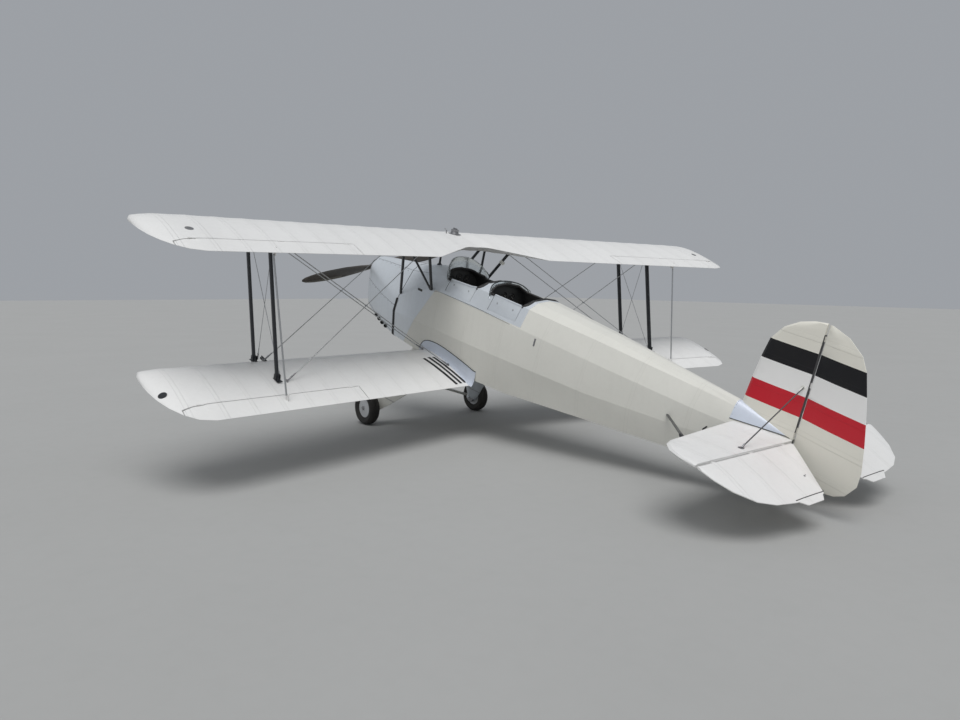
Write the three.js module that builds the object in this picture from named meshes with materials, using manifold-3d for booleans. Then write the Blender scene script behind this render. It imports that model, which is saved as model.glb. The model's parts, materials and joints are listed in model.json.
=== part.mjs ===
// Two-seat training biplane with an inverted in-line engine, parked on its wheels.
// Lengths are millimetres and angles degrees. Each piece is drawn in the airframe's own
// axes: X forward along the thrust line, Y to port, Z up, with the origin ahead of the
// propeller. One group at the end tips the airframe nose up onto its three wheels.

import * as THREE from 'three';
import { mergeVertices } from 'three/addons/utils/BufferGeometryUtils.js';
import Module from 'manifold-3d';

const wasm = await Module();
wasm.setup();

const rad = THREE.MathUtils.degToRad;

// Attitude on the ground and clearances
const parkedNoseUp = 14.18;
const seatGap = 0.3;
const runningGap = 8;

// Wings: both have the same chord, sweep and tip
const chord = 1000;
const sweep = 11.23;
const semiSpan = 3700;
const tipLead = 3648;
const tipTrail = 3335;
const tipFraction = 0.215;
const upperWing = { x: -1323, z: 563, dihedral: 1.95, incidence: 0.95 };
const lowerWing = { x: -1726, z: -743, dihedral: 3.57, incidence: 1.27 };
const wingJoint = 640;
const cutoutDepth = 247;
const cutoutShoulder = { back: 84, half: 250 };
const cutoutCorner = 135;
const cutoutLean = 1.6;

// Ailerons, one on each panel, with the hinge in the top skin
const aileronInner = 1808;
const aileronOuter = 3542;
const hingeFraction = 0.796;
const aileronBevel = 26;
const lowerLinkStation = 2640;
const upperLinkStation = 2702;
const aileronHinges = [1900, 2600, 3400];
const lowerArm = 68;
const upperArm = 103;
const hornHeight = 34;

// Struts between the wings
const strutStation = 2597;
const frontSpar = 0.065;
const rearSpar = 0.568;
const strutChord = 62;
const strutThick = 28;

// Fuselage
const firewall = -1185;
const noseFace = -190;
const bayBack = -1560;
const sternPost = -6140;
const sideHalf = 352;
// The sides stand out to a crease halfway down
const creaseHalf = 396;
const skin = 16;
const cockpitFloor = -560;
const cabinFront = -1600;
const cabinBack = -3330;
const panelSplit = 75;
// Each opening has a long round front, straight sides from its shoulder aft, and a square back
const frontPit = { front: -1875, shoulder: -2060, door: -2065, back: -2560, half: 272 };
const rearPit = { front: -2690, shoulder: -2765, door: -2820, back: -3290, half: 262 };
// The metal bay ends at a slanted joint with the covered body
const jointHigh = { x: -1878, z: 32 };
const jointLow = { x: -1466, z: -630 };

// Tail
const rudderHinge = -6155;
const rudderRest = 13.5;
const elevatorRest = 19;
const tailHeight = 25;
const tailIncidence = -3;
const finTop = 956;
const finThick = 46;
const tailThick = 44;

// Undercarriage
const wheelX = -1567;
const wheelZ = -1443;
const wheelRadius = 195.7;
const wheelHalfTrack = 823;
const tyreWidth = 132;
const tailWheelRadius = 95;
const tailWheelWidth = 62;

// Propeller
const propX = -128;
const thrustZ = -60;
const propRadius = 1105;
const propAngle = -11.7;

// Colours and finishes
const finishes = {
  fabric: { color: 0xe9e6dc, roughness: 0.45, metalness: 0 },
  white: { color: 0xf1f1f2, roughness: 0.4, metalness: 0 },
  silver: { color: 0xc9ccd0, roughness: 0.35, metalness: 0.5 },
  black: { color: 0x16171a, roughness: 0.4, metalness: 0.1 },
  rubber: { color: 0x191919, roughness: 0.85, metalness: 0 },
  wood: { color: 0x4a3526, roughness: 0.35, metalness: 0 },
  steel: { color: 0x8c8f93, roughness: 0.35, metalness: 0.8 },
  glass: { color: 0xdfe8ea, roughness: 0.05, metalness: 0 },
  leather: { color: 0x2a211c, roughness: 0.6, metalness: 0 },
};
const materials = Object.fromEntries(
  Object.entries(finishes).map(([key, value]) => [key, new THREE.MeshStandardMaterial(value)]),
);

const v3 = (x, y, z) => new THREE.Vector3(x, y, z);
const lerp = THREE.MathUtils.lerp;

// Solid modelling helpers

function toSolid(geometry) {
  const bare = geometry.clone();
  bare.deleteAttribute('normal');
  bare.deleteAttribute('uv');
  const merged = mergeVertices(bare, 1e-4);
  return new wasm.Manifold(new wasm.Mesh({
    numProp: 3,
    vertProperties: new Float32Array(merged.attributes.position.array),
    triVerts: new Uint32Array(merged.index.array),
  }));
}

function toGeometry(solid) {
  const mesh = solid.getMesh();
  const geometry = new THREE.BufferGeometry();
  geometry.setAttribute('position', new THREE.BufferAttribute(mesh.vertProperties, 3));
  geometry.setIndex(new THREE.BufferAttribute(mesh.triVerts, 1));
  const flat = geometry.toNonIndexed();
  flat.computeVertexNormals();
  return flat;
}

// A closed skin through rings of equal point count, each end closed by a fan
function loft(rings) {
  const count = rings[0].length;
  const points = rings.flat();
  const faces = [];
  for (let i = 0; i < rings.length - 1; i += 1) {
    for (let j = 0; j < count; j += 1) {
      const a = i * count + j;
      const b = i * count + (j + 1) % count;
      faces.push([a, b, b + count], [a, b + count, a + count]);
    }
  }
  for (const end of [0, rings.length - 1]) {
    const middle = points.length;
    const centre = v3(0, 0, 0);
    rings[end].forEach((p) => centre.addScaledVector(p, 1 / count));
    points.push(centre);
    for (let j = 0; j < count; j += 1) {
      const a = end * count + j;
      const b = end * count + (j + 1) % count;
      faces.push(end === 0 ? [middle, b, a] : [middle, a, b]);
    }
  }
  let volume = 0;
  for (const [a, b, c] of faces) {
    volume += points[a].dot(points[b].clone().cross(points[c]));
  }
  const geometry = new THREE.BufferGeometry().setFromPoints(points);
  geometry.setIndex(faces.flatMap(([a, b, c]) => (volume > 0 ? [a, b, c] : [a, c, b])));
  return toSolid(geometry);
}

function boxSolid(low, high) {
  const size = high.clone().sub(low);
  const geometry = new THREE.BoxGeometry(size.x, size.y, size.z);
  geometry.translate((low.x + high.x) / 2, (low.y + high.y) / 2, (low.z + high.z) / 2);
  return toSolid(geometry);
}

// A round or oval bar from one point to another, as wide as chordSize along X
function bar(from, to, chordSize, thickSize = chordSize, sides = 10) {
  const along = to.clone().sub(from).normalize();
  const side = v3(1, 0, 0).addScaledVector(along, -along.x).normalize();
  const across = along.clone().cross(side);
  const ring = (centre) => Array.from({ length: sides }, (_, k) => {
    const turn = (2 * Math.PI * (k + 0.5)) / sides;
    return centre.clone()
      .addScaledVector(side, (chordSize / 2) * Math.cos(turn))
      .addScaledVector(across, (thickSize / 2) * Math.sin(turn));
  });
  return loft([ring(from), ring(to)]);
}

// A turned shape: profile is [radius, place along the axis], closed on the axis or on itself
function turned(profile, segments, axis) {
  const geometry = new THREE.LatheGeometry(profile.map(([r, h]) => new THREE.Vector2(r, h)), segments);
  if (axis === 'x') {
    geometry.rotateZ(-Math.PI / 2);
  }
  let solid = toSolid(geometry);
  if (solid.volume() < 0) {
    geometry.scale(1, 1, -1);
    solid = toSolid(geometry);
  }
  return solid;
}

const mirrored = (solid) => solid.mirror([0, 1, 0]);
const joined = (solids) => solids.reduce((sum, each) => sum.add(each));

const aircraft = new THREE.Group();

function place(name, solid, finish, parent = aircraft) {
  const mesh = new THREE.Mesh(toGeometry(solid), materials[finish]);
  mesh.name = name;
  parent.add(mesh);
  return mesh;
}

// A port piece and its mirror image, each trimmed by what it stands against
function placePair(name, solid, finish, trims = [], parent = aircraft) {
  for (const [side, piece] of [['port', solid], ['starboard', mirrored(solid)]]) {
    place(`${name}_${side}`, trims.reduce((rest, other) => rest.subtract(other), piece), finish, parent);
  }
}

// Wings

const upperFractions = [1, 0.9, 0.75, 0.58, 0.42, 0.28, 0.16, 0.08, 0.03, 0];
const lowerFractions = [0.02, 0.08, 0.4, 0.75, 1];

function skinHeight(fraction, top) {
  if (!top) {
    return 0.035 * Math.max(0, 1 - fraction / 0.08) ** 2;
  }
  const f = fraction;
  const body = 0.2969 * Math.sqrt(f) - 0.126 * f - 0.3516 * f ** 2 + 0.2843 * f ** 3 - 0.1015 * f ** 4;
  return 1.17 * body + 0.035 / (1 + f / 0.013);
}

function wingPoint(wing, y, fraction, height) {
  const tilt = rad(wing.incidence);
  return v3(
    wing.x - y * Math.tan(rad(sweep)) - fraction * chord * Math.cos(tilt),
    y,
    wing.z + y * Math.tan(rad(wing.dihedral)) - fraction * chord * Math.sin(tilt) + height * chord,
  );
}

// Leading and trailing edge of the rounded tip, as fractions of the chord
function tipEdges(y) {
  const lead = Math.min(1, Math.max(0, (y - tipLead) / (semiSpan - tipLead)));
  const trail = Math.min(1, Math.max(0, (y - tipTrail) / (semiSpan - tipTrail)));
  return {
    front: tipFraction * (1 - Math.sqrt(1 - lead ** 2)),
    back: tipFraction + (1 - tipFraction) * Math.sqrt(1 - trail ** 2),
  };
}

function wingRing(wing, y) {
  const { front, back } = tipEdges(y);
  const size = back - front;
  const middle = 0.03 * (1 - size);
  const upper = upperFractions.map((f) => wingPoint(wing, y, front + f * size, skinHeight(f, true) * size + middle));
  const lower = lowerFractions.map((f) => wingPoint(wing, y, front + f * size, skinHeight(f, false) * size + middle));
  return [...upper, ...lower];
}

function wingPanel(wing, root) {
  const tipStations = [0, 0.35, 0.6, 0.78, 0.9, 0.97, 0.995].map((s) => lerp(tipTrail, semiSpan, s));
  return loft([root, ...tipStations].map((y) => wingRing(wing, y)));
}

// Height of the faceted skin over any place of the straight part of a wing
function wingSkin(wing, x, y, top) {
  const run = wing.x - Math.abs(y) * Math.tan(rad(sweep)) - x;
  const fraction = run / (chord * Math.cos(rad(wing.incidence)));
  const stops = top ? [...upperFractions].reverse() : [0, ...lowerFractions];
  const k = Math.max(0, Math.min(stops.length - 2, stops.findIndex((s) => s > fraction) - 1));
  const share = (fraction - stops[k]) / (stops[k + 1] - stops[k]);
  const height = lerp(skinHeight(stops[k], top), skinHeight(stops[k + 1], top), share);
  return wingPoint(wing, Math.abs(y), fraction, height).z;
}

// A prism over the wing's plan between two stations, aft of a chord fraction
function planPrism(wing, inner, outer, fraction, forward) {
  const corners = [
    [inner, fraction, forward],
    [outer, fraction, forward],
    [outer, fraction, -chord],
    [inner, fraction, -chord],
  ].map(([y, f, shift]) => wingPoint(wing, y, f, 0).add(v3(shift, 0, 0)));
  return loft([-300, 400].map((rise) => corners.map((p) => p.clone().add(v3(0, 0, rise)))));
}

// The wedge that bevels an aileron's nose below its hinge
function bevelPrism(wing) {
  return loft([aileronInner - 50, aileronOuter + 50].map((y) => {
    const hinge = wingPoint(wing, y, hingeFraction, skinHeight(hingeFraction, true));
    return [
      hinge.clone().add(v3(60, 0, 0)),
      hinge.clone().add(v3(0.1, 0, -3)),
      hinge.clone().add(v3(-aileronBevel, 0, -90)),
      hinge.clone().add(v3(60, 0, -90)),
    ];
  }));
}

const hingePoint = (wing, y) => wingPoint(wing, y, hingeFraction, skinHeight(hingeFraction, true));
const hingeLine = (wing) => hingePoint(wing, 1000).sub(hingePoint(wing, 0)).normalize();
const lowerEye = hingePoint(lowerWing, lowerLinkStation).add(v3(-lowerArm, 0, hornHeight - 12));
const upperEye = hingePoint(upperWing, upperLinkStation)
  .add(v3(-upperArm, 0, -skinHeight(hingeFraction, true) * chord - hornHeight));

const hornThick = 8;
const linkDiameter = 16;

// A horn plate square to its hinge line, from the eye into the aileron
function horn(wing, eye, reach) {
  const along = hingeLine(wing).multiplyScalar(hornThick / 2);
  const corners = [[-22, -12], [22, -12], [22, reach], [-22, reach]];
  const sign = Math.sign(reach);
  return loft([-1, 1].map((end) => corners.map(([x, z]) => (
    v3(eye.x + x, eye.y, eye.z + (z === -12 ? -12 * sign : z)).addScaledVector(along, end)))));
}

// Hinge pins stand in round grooves, so that the two pieces turn about one line
const pinRadius = 5.7;
const grooveRadius = 6.3;
const pinHalf = 30;
const barAlong = (line, centre, radius, half) => bar(
  centre.clone().addScaledVector(line, -half),
  centre.clone().addScaledVector(line, half),
  radius * 2,
  radius * 2,
  12,
);

function aileronSolid(wing, panel, eye, reach) {
  const blank = panel.intersect(planPrism(wing, aileronInner, aileronOuter, hingeFraction, 0)).subtract(bevelPrism(wing));
  const grooves = aileronHinges.map((y) => barAlong(hingeLine(wing), hingePoint(wing, y), grooveRadius, pinHalf + 3));
  return blank.add(horn(wing, eye, reach)).subtract(joined(grooves));
}

function hingePins(wing) {
  return joined(aileronHinges.map((y) => {
    const centre = hingePoint(wing, y);
    const line = hingeLine(wing).multiplyScalar(pinHalf);
    const corners = [[-1, -3], [runningGap + 12, -9], [runningGap + 12, -3], [-1, 3]];
    const lug = loft([-1, 1].map((end) => corners.map(([x, z]) => (
      centre.clone().add(v3(x, 0, z)).addScaledVector(line, end)))));
    return barAlong(hingeLine(wing), centre, pinRadius, pinHalf).add(lug);
  }));
}

const cutAileron = (wing, panel) => panel.subtract(
  planPrism(wing, aileronInner - runningGap, aileronOuter + runningGap, hingeFraction, runningGap),
);

const upperBlank = wingPanel(upperWing, wingJoint + seatGap);
const lowerBlank = wingPanel(lowerWing, sideHalf + seatGap);

// Rounded cut in the centre of the upper wing's trailing edge, its wall leaning forward under a thin upper edge
function centreCutout() {
  const front = upperWing.x - chord + cutoutDepth;
  const back = upperWing.x - 2 * chord;
  const shoulder = front - cutoutShoulder.back;
  const flare = 400;
  const outer = cutoutShoulder.half + flare * (cutoutShoulder.half - cutoutCorner) / cutoutShoulder.back;
  const outline = new THREE.Shape();
  outline.moveTo(back, -outer);
  outline.lineTo(shoulder - flare, -outer);
  outline.lineTo(shoulder, -cutoutShoulder.half);
  outline.quadraticCurveTo(front, -cutoutCorner, front, 0);
  outline.quadraticCurveTo(front, cutoutCorner, shoulder, cutoutShoulder.half);
  outline.lineTo(shoulder - flare, outer);
  outline.lineTo(back, outer);
  const points = outline.getPoints(5);
  return loft([-110, 110].map((rise) => points.map(({ x, y }) => (
    v3(x - rise * cutoutLean, y, wingSkin(upperWing, Math.max(x, upperWing.x - chord), y, true) + rise)))));
}

const cutout = centreCutout();
const centrePanel = loft([
  ...[wingJoint, 0].map((y) => wingRing(upperWing, y).map((p) => v3(p.x, -p.y, p.z))),
  wingRing(upperWing, wingJoint),
]).subtract(cutout);
place('upper_wing_centre', centrePanel, 'white');

placePair('upper_wing', cutAileron(upperWing, upperBlank).subtract(cutout).add(hingePins(upperWing)), 'white');
placePair('upper_aileron', aileronSolid(upperWing, upperBlank, upperEye, hornHeight + 30), 'white');
placePair('lower_aileron', aileronSolid(lowerWing, lowerBlank, lowerEye, -hornHeight - 20), 'white');
const besideHorn = hornThick / 2 + linkDiameter / 2 + seatGap;
const rodLean = 0.4;
const linkRod = bar(
  lowerEye.clone().addScaledVector(hingeLine(lowerWing), besideHorn),
  upperEye.clone().addScaledVector(hingeLine(upperWing), besideHorn + rodLean),
  linkDiameter,
  linkDiameter,
  12,
);
placePair('aileron_link', linkRod, 'steel');

// What stands on a wing is trimmed by that wing, moved by the seat gap
const onLowerWing = lowerBlank.translate([0, 0, seatGap]);
const underLowerWing = lowerBlank.translate([0, 0, -seatGap]);
const underUpperWing = joined([
  upperBlank,
  loft([wingRing(upperWing, 0), wingRing(upperWing, wingJoint + 5)]),
]).translate([0, 0, -seatGap]);

// Struts between the wings, flared at both ends
const strutSink = 15;
const footFlare = 1.35;

function wingStrut(fraction) {
  const foot = wingPoint(lowerWing, strutStation, fraction, skinHeight(fraction, true));
  const head = wingPoint(upperWing, strutStation, fraction, skinHeight(fraction, false));
  foot.z -= strutSink;
  head.z += strutSink;
  const stations = [[0, footFlare], [0.07, 1], [0.93, 1], [1, footFlare]];
  const rings = stations.map(([share, scale]) => Array.from({ length: 10 }, (_, k) => {
    const turn = (2 * Math.PI * (k + 0.5)) / 10;
    const x = scale * (strutChord / 2) * Math.cos(turn);
    const y = scale * (strutThick / 2) * Math.sin(turn);
    return foot.clone().lerp(head, share).add(v3(x, y, 0));
  }));
  return loft(rings).subtract(onLowerWing).subtract(underUpperWing);
}

placePair('strut_front', wingStrut(frontSpar), 'black');
placePair('strut_rear', wingStrut(rearSpar), 'black');

// Fuselage sections from the nose to the stern post. Columns: place, deck height, shoulder
// half width and height, side half width and height, crease half width and height, lower
// longeron half width and height, keel height
const columns = ['x', 'top', 'shY', 'shZ', 'sdY', 'sdZ', 'crY', 'crZ', 'loY', 'loZ', 'keel'];
const cowlRows = [
  [noseFace, 70, 80, 45, 150, -50, 158, -290, 130, -500, -535],
  [noseFace - 60, 92, 95, 62, 182, -55, 190, -300, 162, -540, -580],
  [-480, 125, 120, 85, 235, -90, 248, -335, 210, -590, -635],
  [-820, 168, 150, 108, 300, -155, 322, -365, 288, -640, -692],
  [firewall, 212, 178, 128, 350, -220, 378, -375, 348, -672, -728],
];
const bodyRows = [
  [firewall - seatGap, 212, 178, 128, 350, -220, 378, -375, 348, -672, -728],
  [bayBack, 288, 215, 190, sideHalf, 5, creaseHalf - 2, -362, sideHalf, -688, -738],
  [-2000, 342, 262, 262, sideHalf, panelSplit, creaseHalf, -340, sideHalf, -700, -738],
  [-2700, 348, 272, 262, sideHalf, panelSplit + 8, creaseHalf, -315, sideHalf, -690, -724],
  [-3310, 347, 262, 262, 345, 62, 385, -290, 332, -640, -664],
  [-4300, 286, 190, 215, 272, 30, 304, -262, 250, -520, -540],
  [-5300, 204, 95, 150, 160, -10, 174, -195, 150, -405, -418],
  [-5654, 173, 62, 125, 105, -20, 111, -160, 96, -340, -350],
  [sternPost, 44, 10, 36, 15, -20, 16, -110, 14, -224, -232],
];

function sectionRing(values, grow) {
  const row = Object.fromEntries(columns.map((key, k) => [key, values[k]]));
  const half = [
    [0, row.top + grow],
    [row.shY * 0.6, row.top - 0.24 * (row.top - row.shZ) + grow],
    [row.shY + grow * 0.6, row.shZ + grow * 0.8],
    [row.sdY + grow, row.sdZ],
    [row.crY + grow, row.crZ],
    [row.loY + grow, row.loZ - grow * 0.3],
    [row.loY * 0.62, row.keel - grow],
  ];
  const port = half.map(([y, z]) => v3(row.x, y, z));
  const starboard = half.slice(1).reverse().map(([y, z]) => v3(row.x, -y, z));
  return [...port, ...starboard];
}

const hull = (rows, grow = 0) => loft(rows.map((row) => sectionRing(row, grow)));
const bodyAround = hull(bodyRows, seatGap);

// The lower wing's root stands against the fuselage side
placePair('lower_wing', cutAileron(lowerWing, lowerBlank).add(hingePins(lowerWing)), 'white', [bodyAround]);

// Engine cowling, open at its back, with the shaft hole, air intake and outlets
const cowlWall = 12;
const intakeSize = { y: 95, width: 70, z: -215, height: 150 };
const shaftRadius = 38;

function cowling() {
  const outer = hull(cowlRows);
  const insideRows = cowlRows.map((row, k) => {
    const x = k === 0 ? row[0] - cowlWall : row[0];
    return [k === cowlRows.length - 1 ? x - 5 : x, ...row.slice(1)];
  });
  const inner = hull(insideRows, -cowlWall);
  const shaftHole = turned([[0, -80], [shaftRadius + 22, -80], [shaftRadius + 22, 80], [0, 80]], 24, 'x')
    .translate([noseFace, 0, thrustZ]);
  const intake = boxSolid(
    v3(noseFace - 60, intakeSize.y - intakeSize.width / 2, intakeSize.z - intakeSize.height / 2),
    v3(noseFace + 60, intakeSize.y + intakeSize.width / 2, intakeSize.z + intakeSize.height / 2),
  );
  const outlet = boxSolid(v3(-900, -150, -760), v3(-760, 150, -600));
  return outer.subtract(inner).subtract(shaftHole).subtract(intake).subtract(outlet);
}
place('cowling', cowling(), 'silver');

function engine() {
  const block = boxSolid(v3(firewall, -125, -420), v3(-320, 120, -5));
  const shaft = turned([[0, 0], [shaftRadius, 0], [shaftRadius, 150], [0, 150]], 20, 'x')
    .translate([-330, 0, thrustZ]);
  return block.add(shaft);
}
place('engine_block', engine(), 'steel');

// Two-blade wooden propeller
const hubFront = -58;
const hubBack = -180 + seatGap;
const hubRadius = 78;

function propeller() {
  const hub = turned([[0, hubBack], [hubRadius, hubBack], [hubRadius, hubFront - 12], [hubRadius - 14, hubFront], [0, hubFront]], 24, 'x');
  // Blade columns: share of radius, chord, thickness, pitch angle
  const bladeRows = [
    [0.03, 96, 88, 62],
    [0.12, 112, 62, 52],
    [0.25, 142, 42, 40],
    [0.45, 158, 28, 28],
    [0.68, 146, 19, 20],
    [0.86, 112, 13, 16],
    [0.96, 70, 9, 14],
    [1, 26, 5, 13],
  ];
  const blade = loft(bladeRows.map(([share, width, thick, pitch]) => {
    const turn = rad(pitch);
    return Array.from({ length: 10 }, (_, k) => {
      const angle = (2 * Math.PI * k) / 10;
      const along = (width / 2) * Math.cos(angle);
      const deep = (thick / 2) * Math.sin(angle);
      return v3(
        propX + along * Math.sin(turn) * 0.55 + deep * Math.cos(turn),
        share * propRadius,
        -along * Math.cos(turn) + deep * Math.sin(turn) * 0.5,
      );
    });
  }));
  const other = blade.rotate([180, 0, 0]);
  return joined([blade, other]).rotate([propAngle, 0, 0]).add(hub).translate([0, 0, thrustZ]);
}
place('propeller', propeller(), 'wood');

// Fuselage: forward bay, cockpit surround with two openings, and the covered body
function pitPrism(pit, low, high) {
  const outline = new THREE.Shape();
  const round = 90;
  const quarter = Math.PI / 2;
  outline.moveTo(pit.shoulder, -pit.half);
  outline.absellipse(pit.shoulder, 0, pit.front - pit.shoulder, pit.half, -quarter, quarter, false, 0);
  outline.lineTo(pit.back + round, pit.half);
  outline.quadraticCurveTo(pit.back, pit.half, pit.back, pit.half - round);
  outline.lineTo(pit.back, -pit.half + round);
  outline.quadraticCurveTo(pit.back, -pit.half, pit.back + round, -pit.half);
  outline.lineTo(pit.shoulder, -pit.half);
  const geometry = new THREE.ExtrudeGeometry(outline, { depth: high - low, bevelEnabled: false, curveSegments: 7 });
  geometry.translate(0, 0, low);
  return toSolid(geometry);
}

const far = 3000;
const slab = (xBack, xFront, zLow, zHigh) => boxSolid(v3(xBack, -far, zLow), v3(xFront, far, zHigh));
const wholeBody = hull(bodyRows);
const cabin = hull(bodyRows, -skin)
  .intersect(slab(cabinBack, cabinFront, cockpitFloor, far));
const pits = joined([frontPit, rearPit].map((pit) => pitPrism(pit, 150, 600)));

// Door openings in the port side of the cockpit surround, hinged along their lower edge
const doorEdge = 5;
const doorSill = 0.4;
const doorRows = [
  { name: 'front', front: frontPit.door, back: frontPit.back + 45 },
  { name: 'rear', front: rearPit.door, back: rearPit.back + 45 },
];
const doorLow = 108;
const doorPrism = (row, gap, sill) => boxSolid(
  v3(row.back - gap, 200, doorLow - sill),
  v3(row.front + gap, far, 400),
);
const doorHoles = joined(doorRows.map((row) => doorPrism(row, doorEdge, doorSill)));

const shell = wholeBody.subtract(cabin);
const jointAt = (z) => THREE.MathUtils.mapLinear(z, jointLow.z, jointHigh.z, jointLow.x, jointHigh.x);
const aheadOfJoint = (shift) => loft([-far, far].map((y) => [
  v3(jointAt(far) + shift, y, far),
  v3(far, y, far),
  v3(far, y, -far),
  v3(jointAt(-far) + shift, y, -far),
]));
const underSurround = slab(-far, far, -far, panelSplit - seatGap);
const bayZone = slab(bayBack, far, -far, far).add(underSurround).intersect(aheadOfJoint(0));
place('forward_bay', shell.intersect(bayZone), 'silver');
const surroundZone = slab(cabinBack - 20, bayBack - seatGap, panelSplit, far);
const surround = shell.intersect(surroundZone).subtract(pits);
place('cockpit_surround', surround.subtract(doorHoles), 'silver');
for (const row of doorRows) {
  place(`cockpit_door_${row.name}`, surround.intersect(doorPrism(row, 0, 0)), 'silver');
}
const bodyZone = slab(sternPost - 50, far, -far, far)
  .subtract(aheadOfJoint(-seatGap))
  .subtract(slab(cabinBack - 20 - seatGap, far, panelSplit - seatGap, far));
place('fuselage_body', shell.intersect(bodyZone), 'fabric');

// Cockpit fittings
const seatWidth = 400;
const seatDepth = 340;
const seatRows = [
  { name: 'front', back: frontPit.back + 20 },
  { name: 'rear', back: rearPit.back + 45 },
];

function seat(row) {
  const half = seatWidth / 2;
  const wall = 14;
  const pan = boxSolid(v3(row.back, -half, -330), v3(row.back + seatDepth, half, -210));
  const rest = boxSolid(v3(row.back - 60, -half, -330), v3(row.back + wall + 40, half, 130));
  const hollow = boxSolid(v3(row.back + wall, -half + wall, -300), v3(row.back + seatDepth - wall, half - wall, 300));
  const legs = [-1, 1].map((s) => boxSolid(
    v3(row.back + 30, s * (half - 30) - 15, cockpitFloor + seatGap),
    v3(row.back + seatDepth - 40, s * (half - 30) + 15, -320),
  ));
  return joined([pan, rest]).subtract(hollow).add(joined(legs));
}
for (const row of seatRows) {
  place(`seat_${row.name}`, seat(row), 'leather');
}

const panelThick = 14;
for (const [name, pit] of [['front', frontPit], ['rear', rearPit]]) {
  const x = pit.front + 40;
  const panel = hull(bodyRows, -skin - seatGap).intersect(boxSolid(v3(x - panelThick, -far, -60), v3(x, far, far)));
  place(`instrument_panel_${name}`, panel, 'black');
}

function controlColumn() {
  const sticks = [frontPit, rearPit].map((pit) => {
    const foot = pit.door - 5;
    return bar(v3(foot, 0, cockpitFloor + 30), v3(foot - 30, 0, -20), 30, 30, 10);
  });
  const from = rearPit.back + 250;
  const tube = boxSolid(v3(from, -18, cockpitFloor + seatGap), v3(frontPit.shoulder + 20, 18, cockpitFloor + 45));
  return joined([...sticks, tube]);
}
place('control_column', controlColumn(), 'black');

// Windscreens: an arched screen wrapped round the front of each cockpit, the rear one a low lip.
// Columns of an edge: half width across the arch, height of its upper edge
const screens = [
  { name: 'front', pit: frontPit, edge: [[0, 455], [90, 450], [170, 424], [230, 378], [270, 316], [292, 250]] },
  { name: 'rear', pit: rearPit, edge: [[0, 372], [90, 367], [170, 354], [230, 332], [272, 298], [292, 250]] },
];
const screen = { ahead: 91, half: 300, wrap: 111, thick: 8, narrowing: 0.972, lean: 60, foot: 150, head: 475 };

function windscreen({ pit, edge }) {
  const front = pit.front + screen.ahead;
  const depth = pit.front - pit.shoulder + screen.wrap;
  const rows = edge.map(([y, z]) => [y, depth * (1 - Math.sqrt(1 - (y / screen.half) ** 2)), z]);
  const sides = [...rows.slice(1).reverse().map(([y, x, z]) => [-y, x, z]), ...rows];
  const band = (lean) => [
    ...sides.map(([y, x]) => [y, front - x - lean]),
    ...sides.map(([y, x]) => [y * screen.narrowing, front - x - lean - screen.thick]).reverse(),
  ];
  const low = band(0).map(([y, x]) => v3(x, y, screen.foot));
  const high = band(screen.lean).map(([y, x]) => v3(x, y, screen.head));
  const arch = [front - 400, front + 100].map((x) => [
    ...sides.map(([y, , z]) => v3(x, y * 1.02, z)),
    v3(x, 320, screen.foot - 10),
    v3(x, -320, screen.foot - 10),
  ]);
  return loft([low, high]).intersect(loft(arch));
}
for (const row of screens) {
  place(`windscreen_${row.name}`, windscreen(row).subtract(bodyAround), 'glass');
}

// Cabane: an N of struts on each side, from the fuselage shoulder to a rail under the wing
const cabaneTop = 606;
const cabaneSize = 44;
const railSize = 32;

function cabane() {
  const frontFoot = v3(-1200, 325, -150);
  const rearFoot = v3(-1809, 325, 20);
  const frontHead = wingPoint(upperWing, cabaneTop, frontSpar + 0.03, 0);
  const rearHead = wingPoint(upperWing, cabaneTop, rearSpar, 0);
  const belowWing = v3(0, 0, -railSize / 3);
  const bars = [
    bar(frontFoot, frontHead.clone().add(v3(0, 0, 30)), cabaneSize, cabaneSize * 0.6),
    bar(rearFoot, rearHead.clone().add(v3(0, 0, 30)), cabaneSize, cabaneSize * 0.6),
    bar(rearFoot.clone().lerp(rearHead, 0.03), frontHead.clone().lerp(frontFoot, 0.03), cabaneSize * 0.8, cabaneSize * 0.5),
    bar(frontHead.clone().add(belowWing), rearHead.clone().add(belowWing), railSize),
  ];
  return joined(bars).subtract(underUpperWing);
}
placePair('cabane', cabane(), 'black', [bodyAround]);

// Main stays: the flying and landing wires of each spar cross and are clipped together
const wire = 9;

function closestPoints([a, b], [c, d]) {
  const first = b.clone().sub(a);
  const second = d.clone().sub(c);
  const across = first.clone().cross(second);
  const between = c.clone().sub(a);
  const along = between.clone().cross(second).dot(across) / across.lengthSq();
  const share = between.clone().cross(first).dot(across) / across.lengthSq();
  return [a.clone().addScaledVector(first, along), c.clone().addScaledVector(second, share)];
}

function stayCross(fraction) {
  const foot = wingPoint(lowerWing, strutStation - 70, fraction, 0);
  const head = wingPoint(upperWing, strutStation - 70, fraction, 0);
  const rootHigh = wingPoint(upperWing, cabaneTop + 60, fraction, 0);
  const rootLow = wingPoint(lowerWing, sideHalf + 40, fraction, 0);
  const onTop = (p) => v3(p.x, p.y, wingSkin(lowerWing, p.x, p.y, true) - wire);
  const under = (p) => v3(p.x, p.y, wingSkin(upperWing, p.x, p.y, false) + wire);
  const flying = [onTop(rootLow), under(head)];
  const landing = [under(rootHigh), onTop(foot)];
  const [near, away] = closestPoints(flying, landing);
  const reach = away.clone().sub(near).setLength(wire);
  const clip = bar(near.clone().sub(reach), away.clone().add(reach), wire * 2, wire * 2, 6);
  const wires = [flying, landing].map(([a, b]) => bar(a, b, wire, wire, 6));
  return joined([...wires, clip]).subtract(onLowerWing).subtract(underUpperWing);
}

for (const [name, fraction] of [['front', frontSpar + 0.035], ['rear', rearSpar + 0.04]]) {
  placePair(`stays_${name}`, stayCross(fraction), 'steel', [bodyAround]);
}

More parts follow.
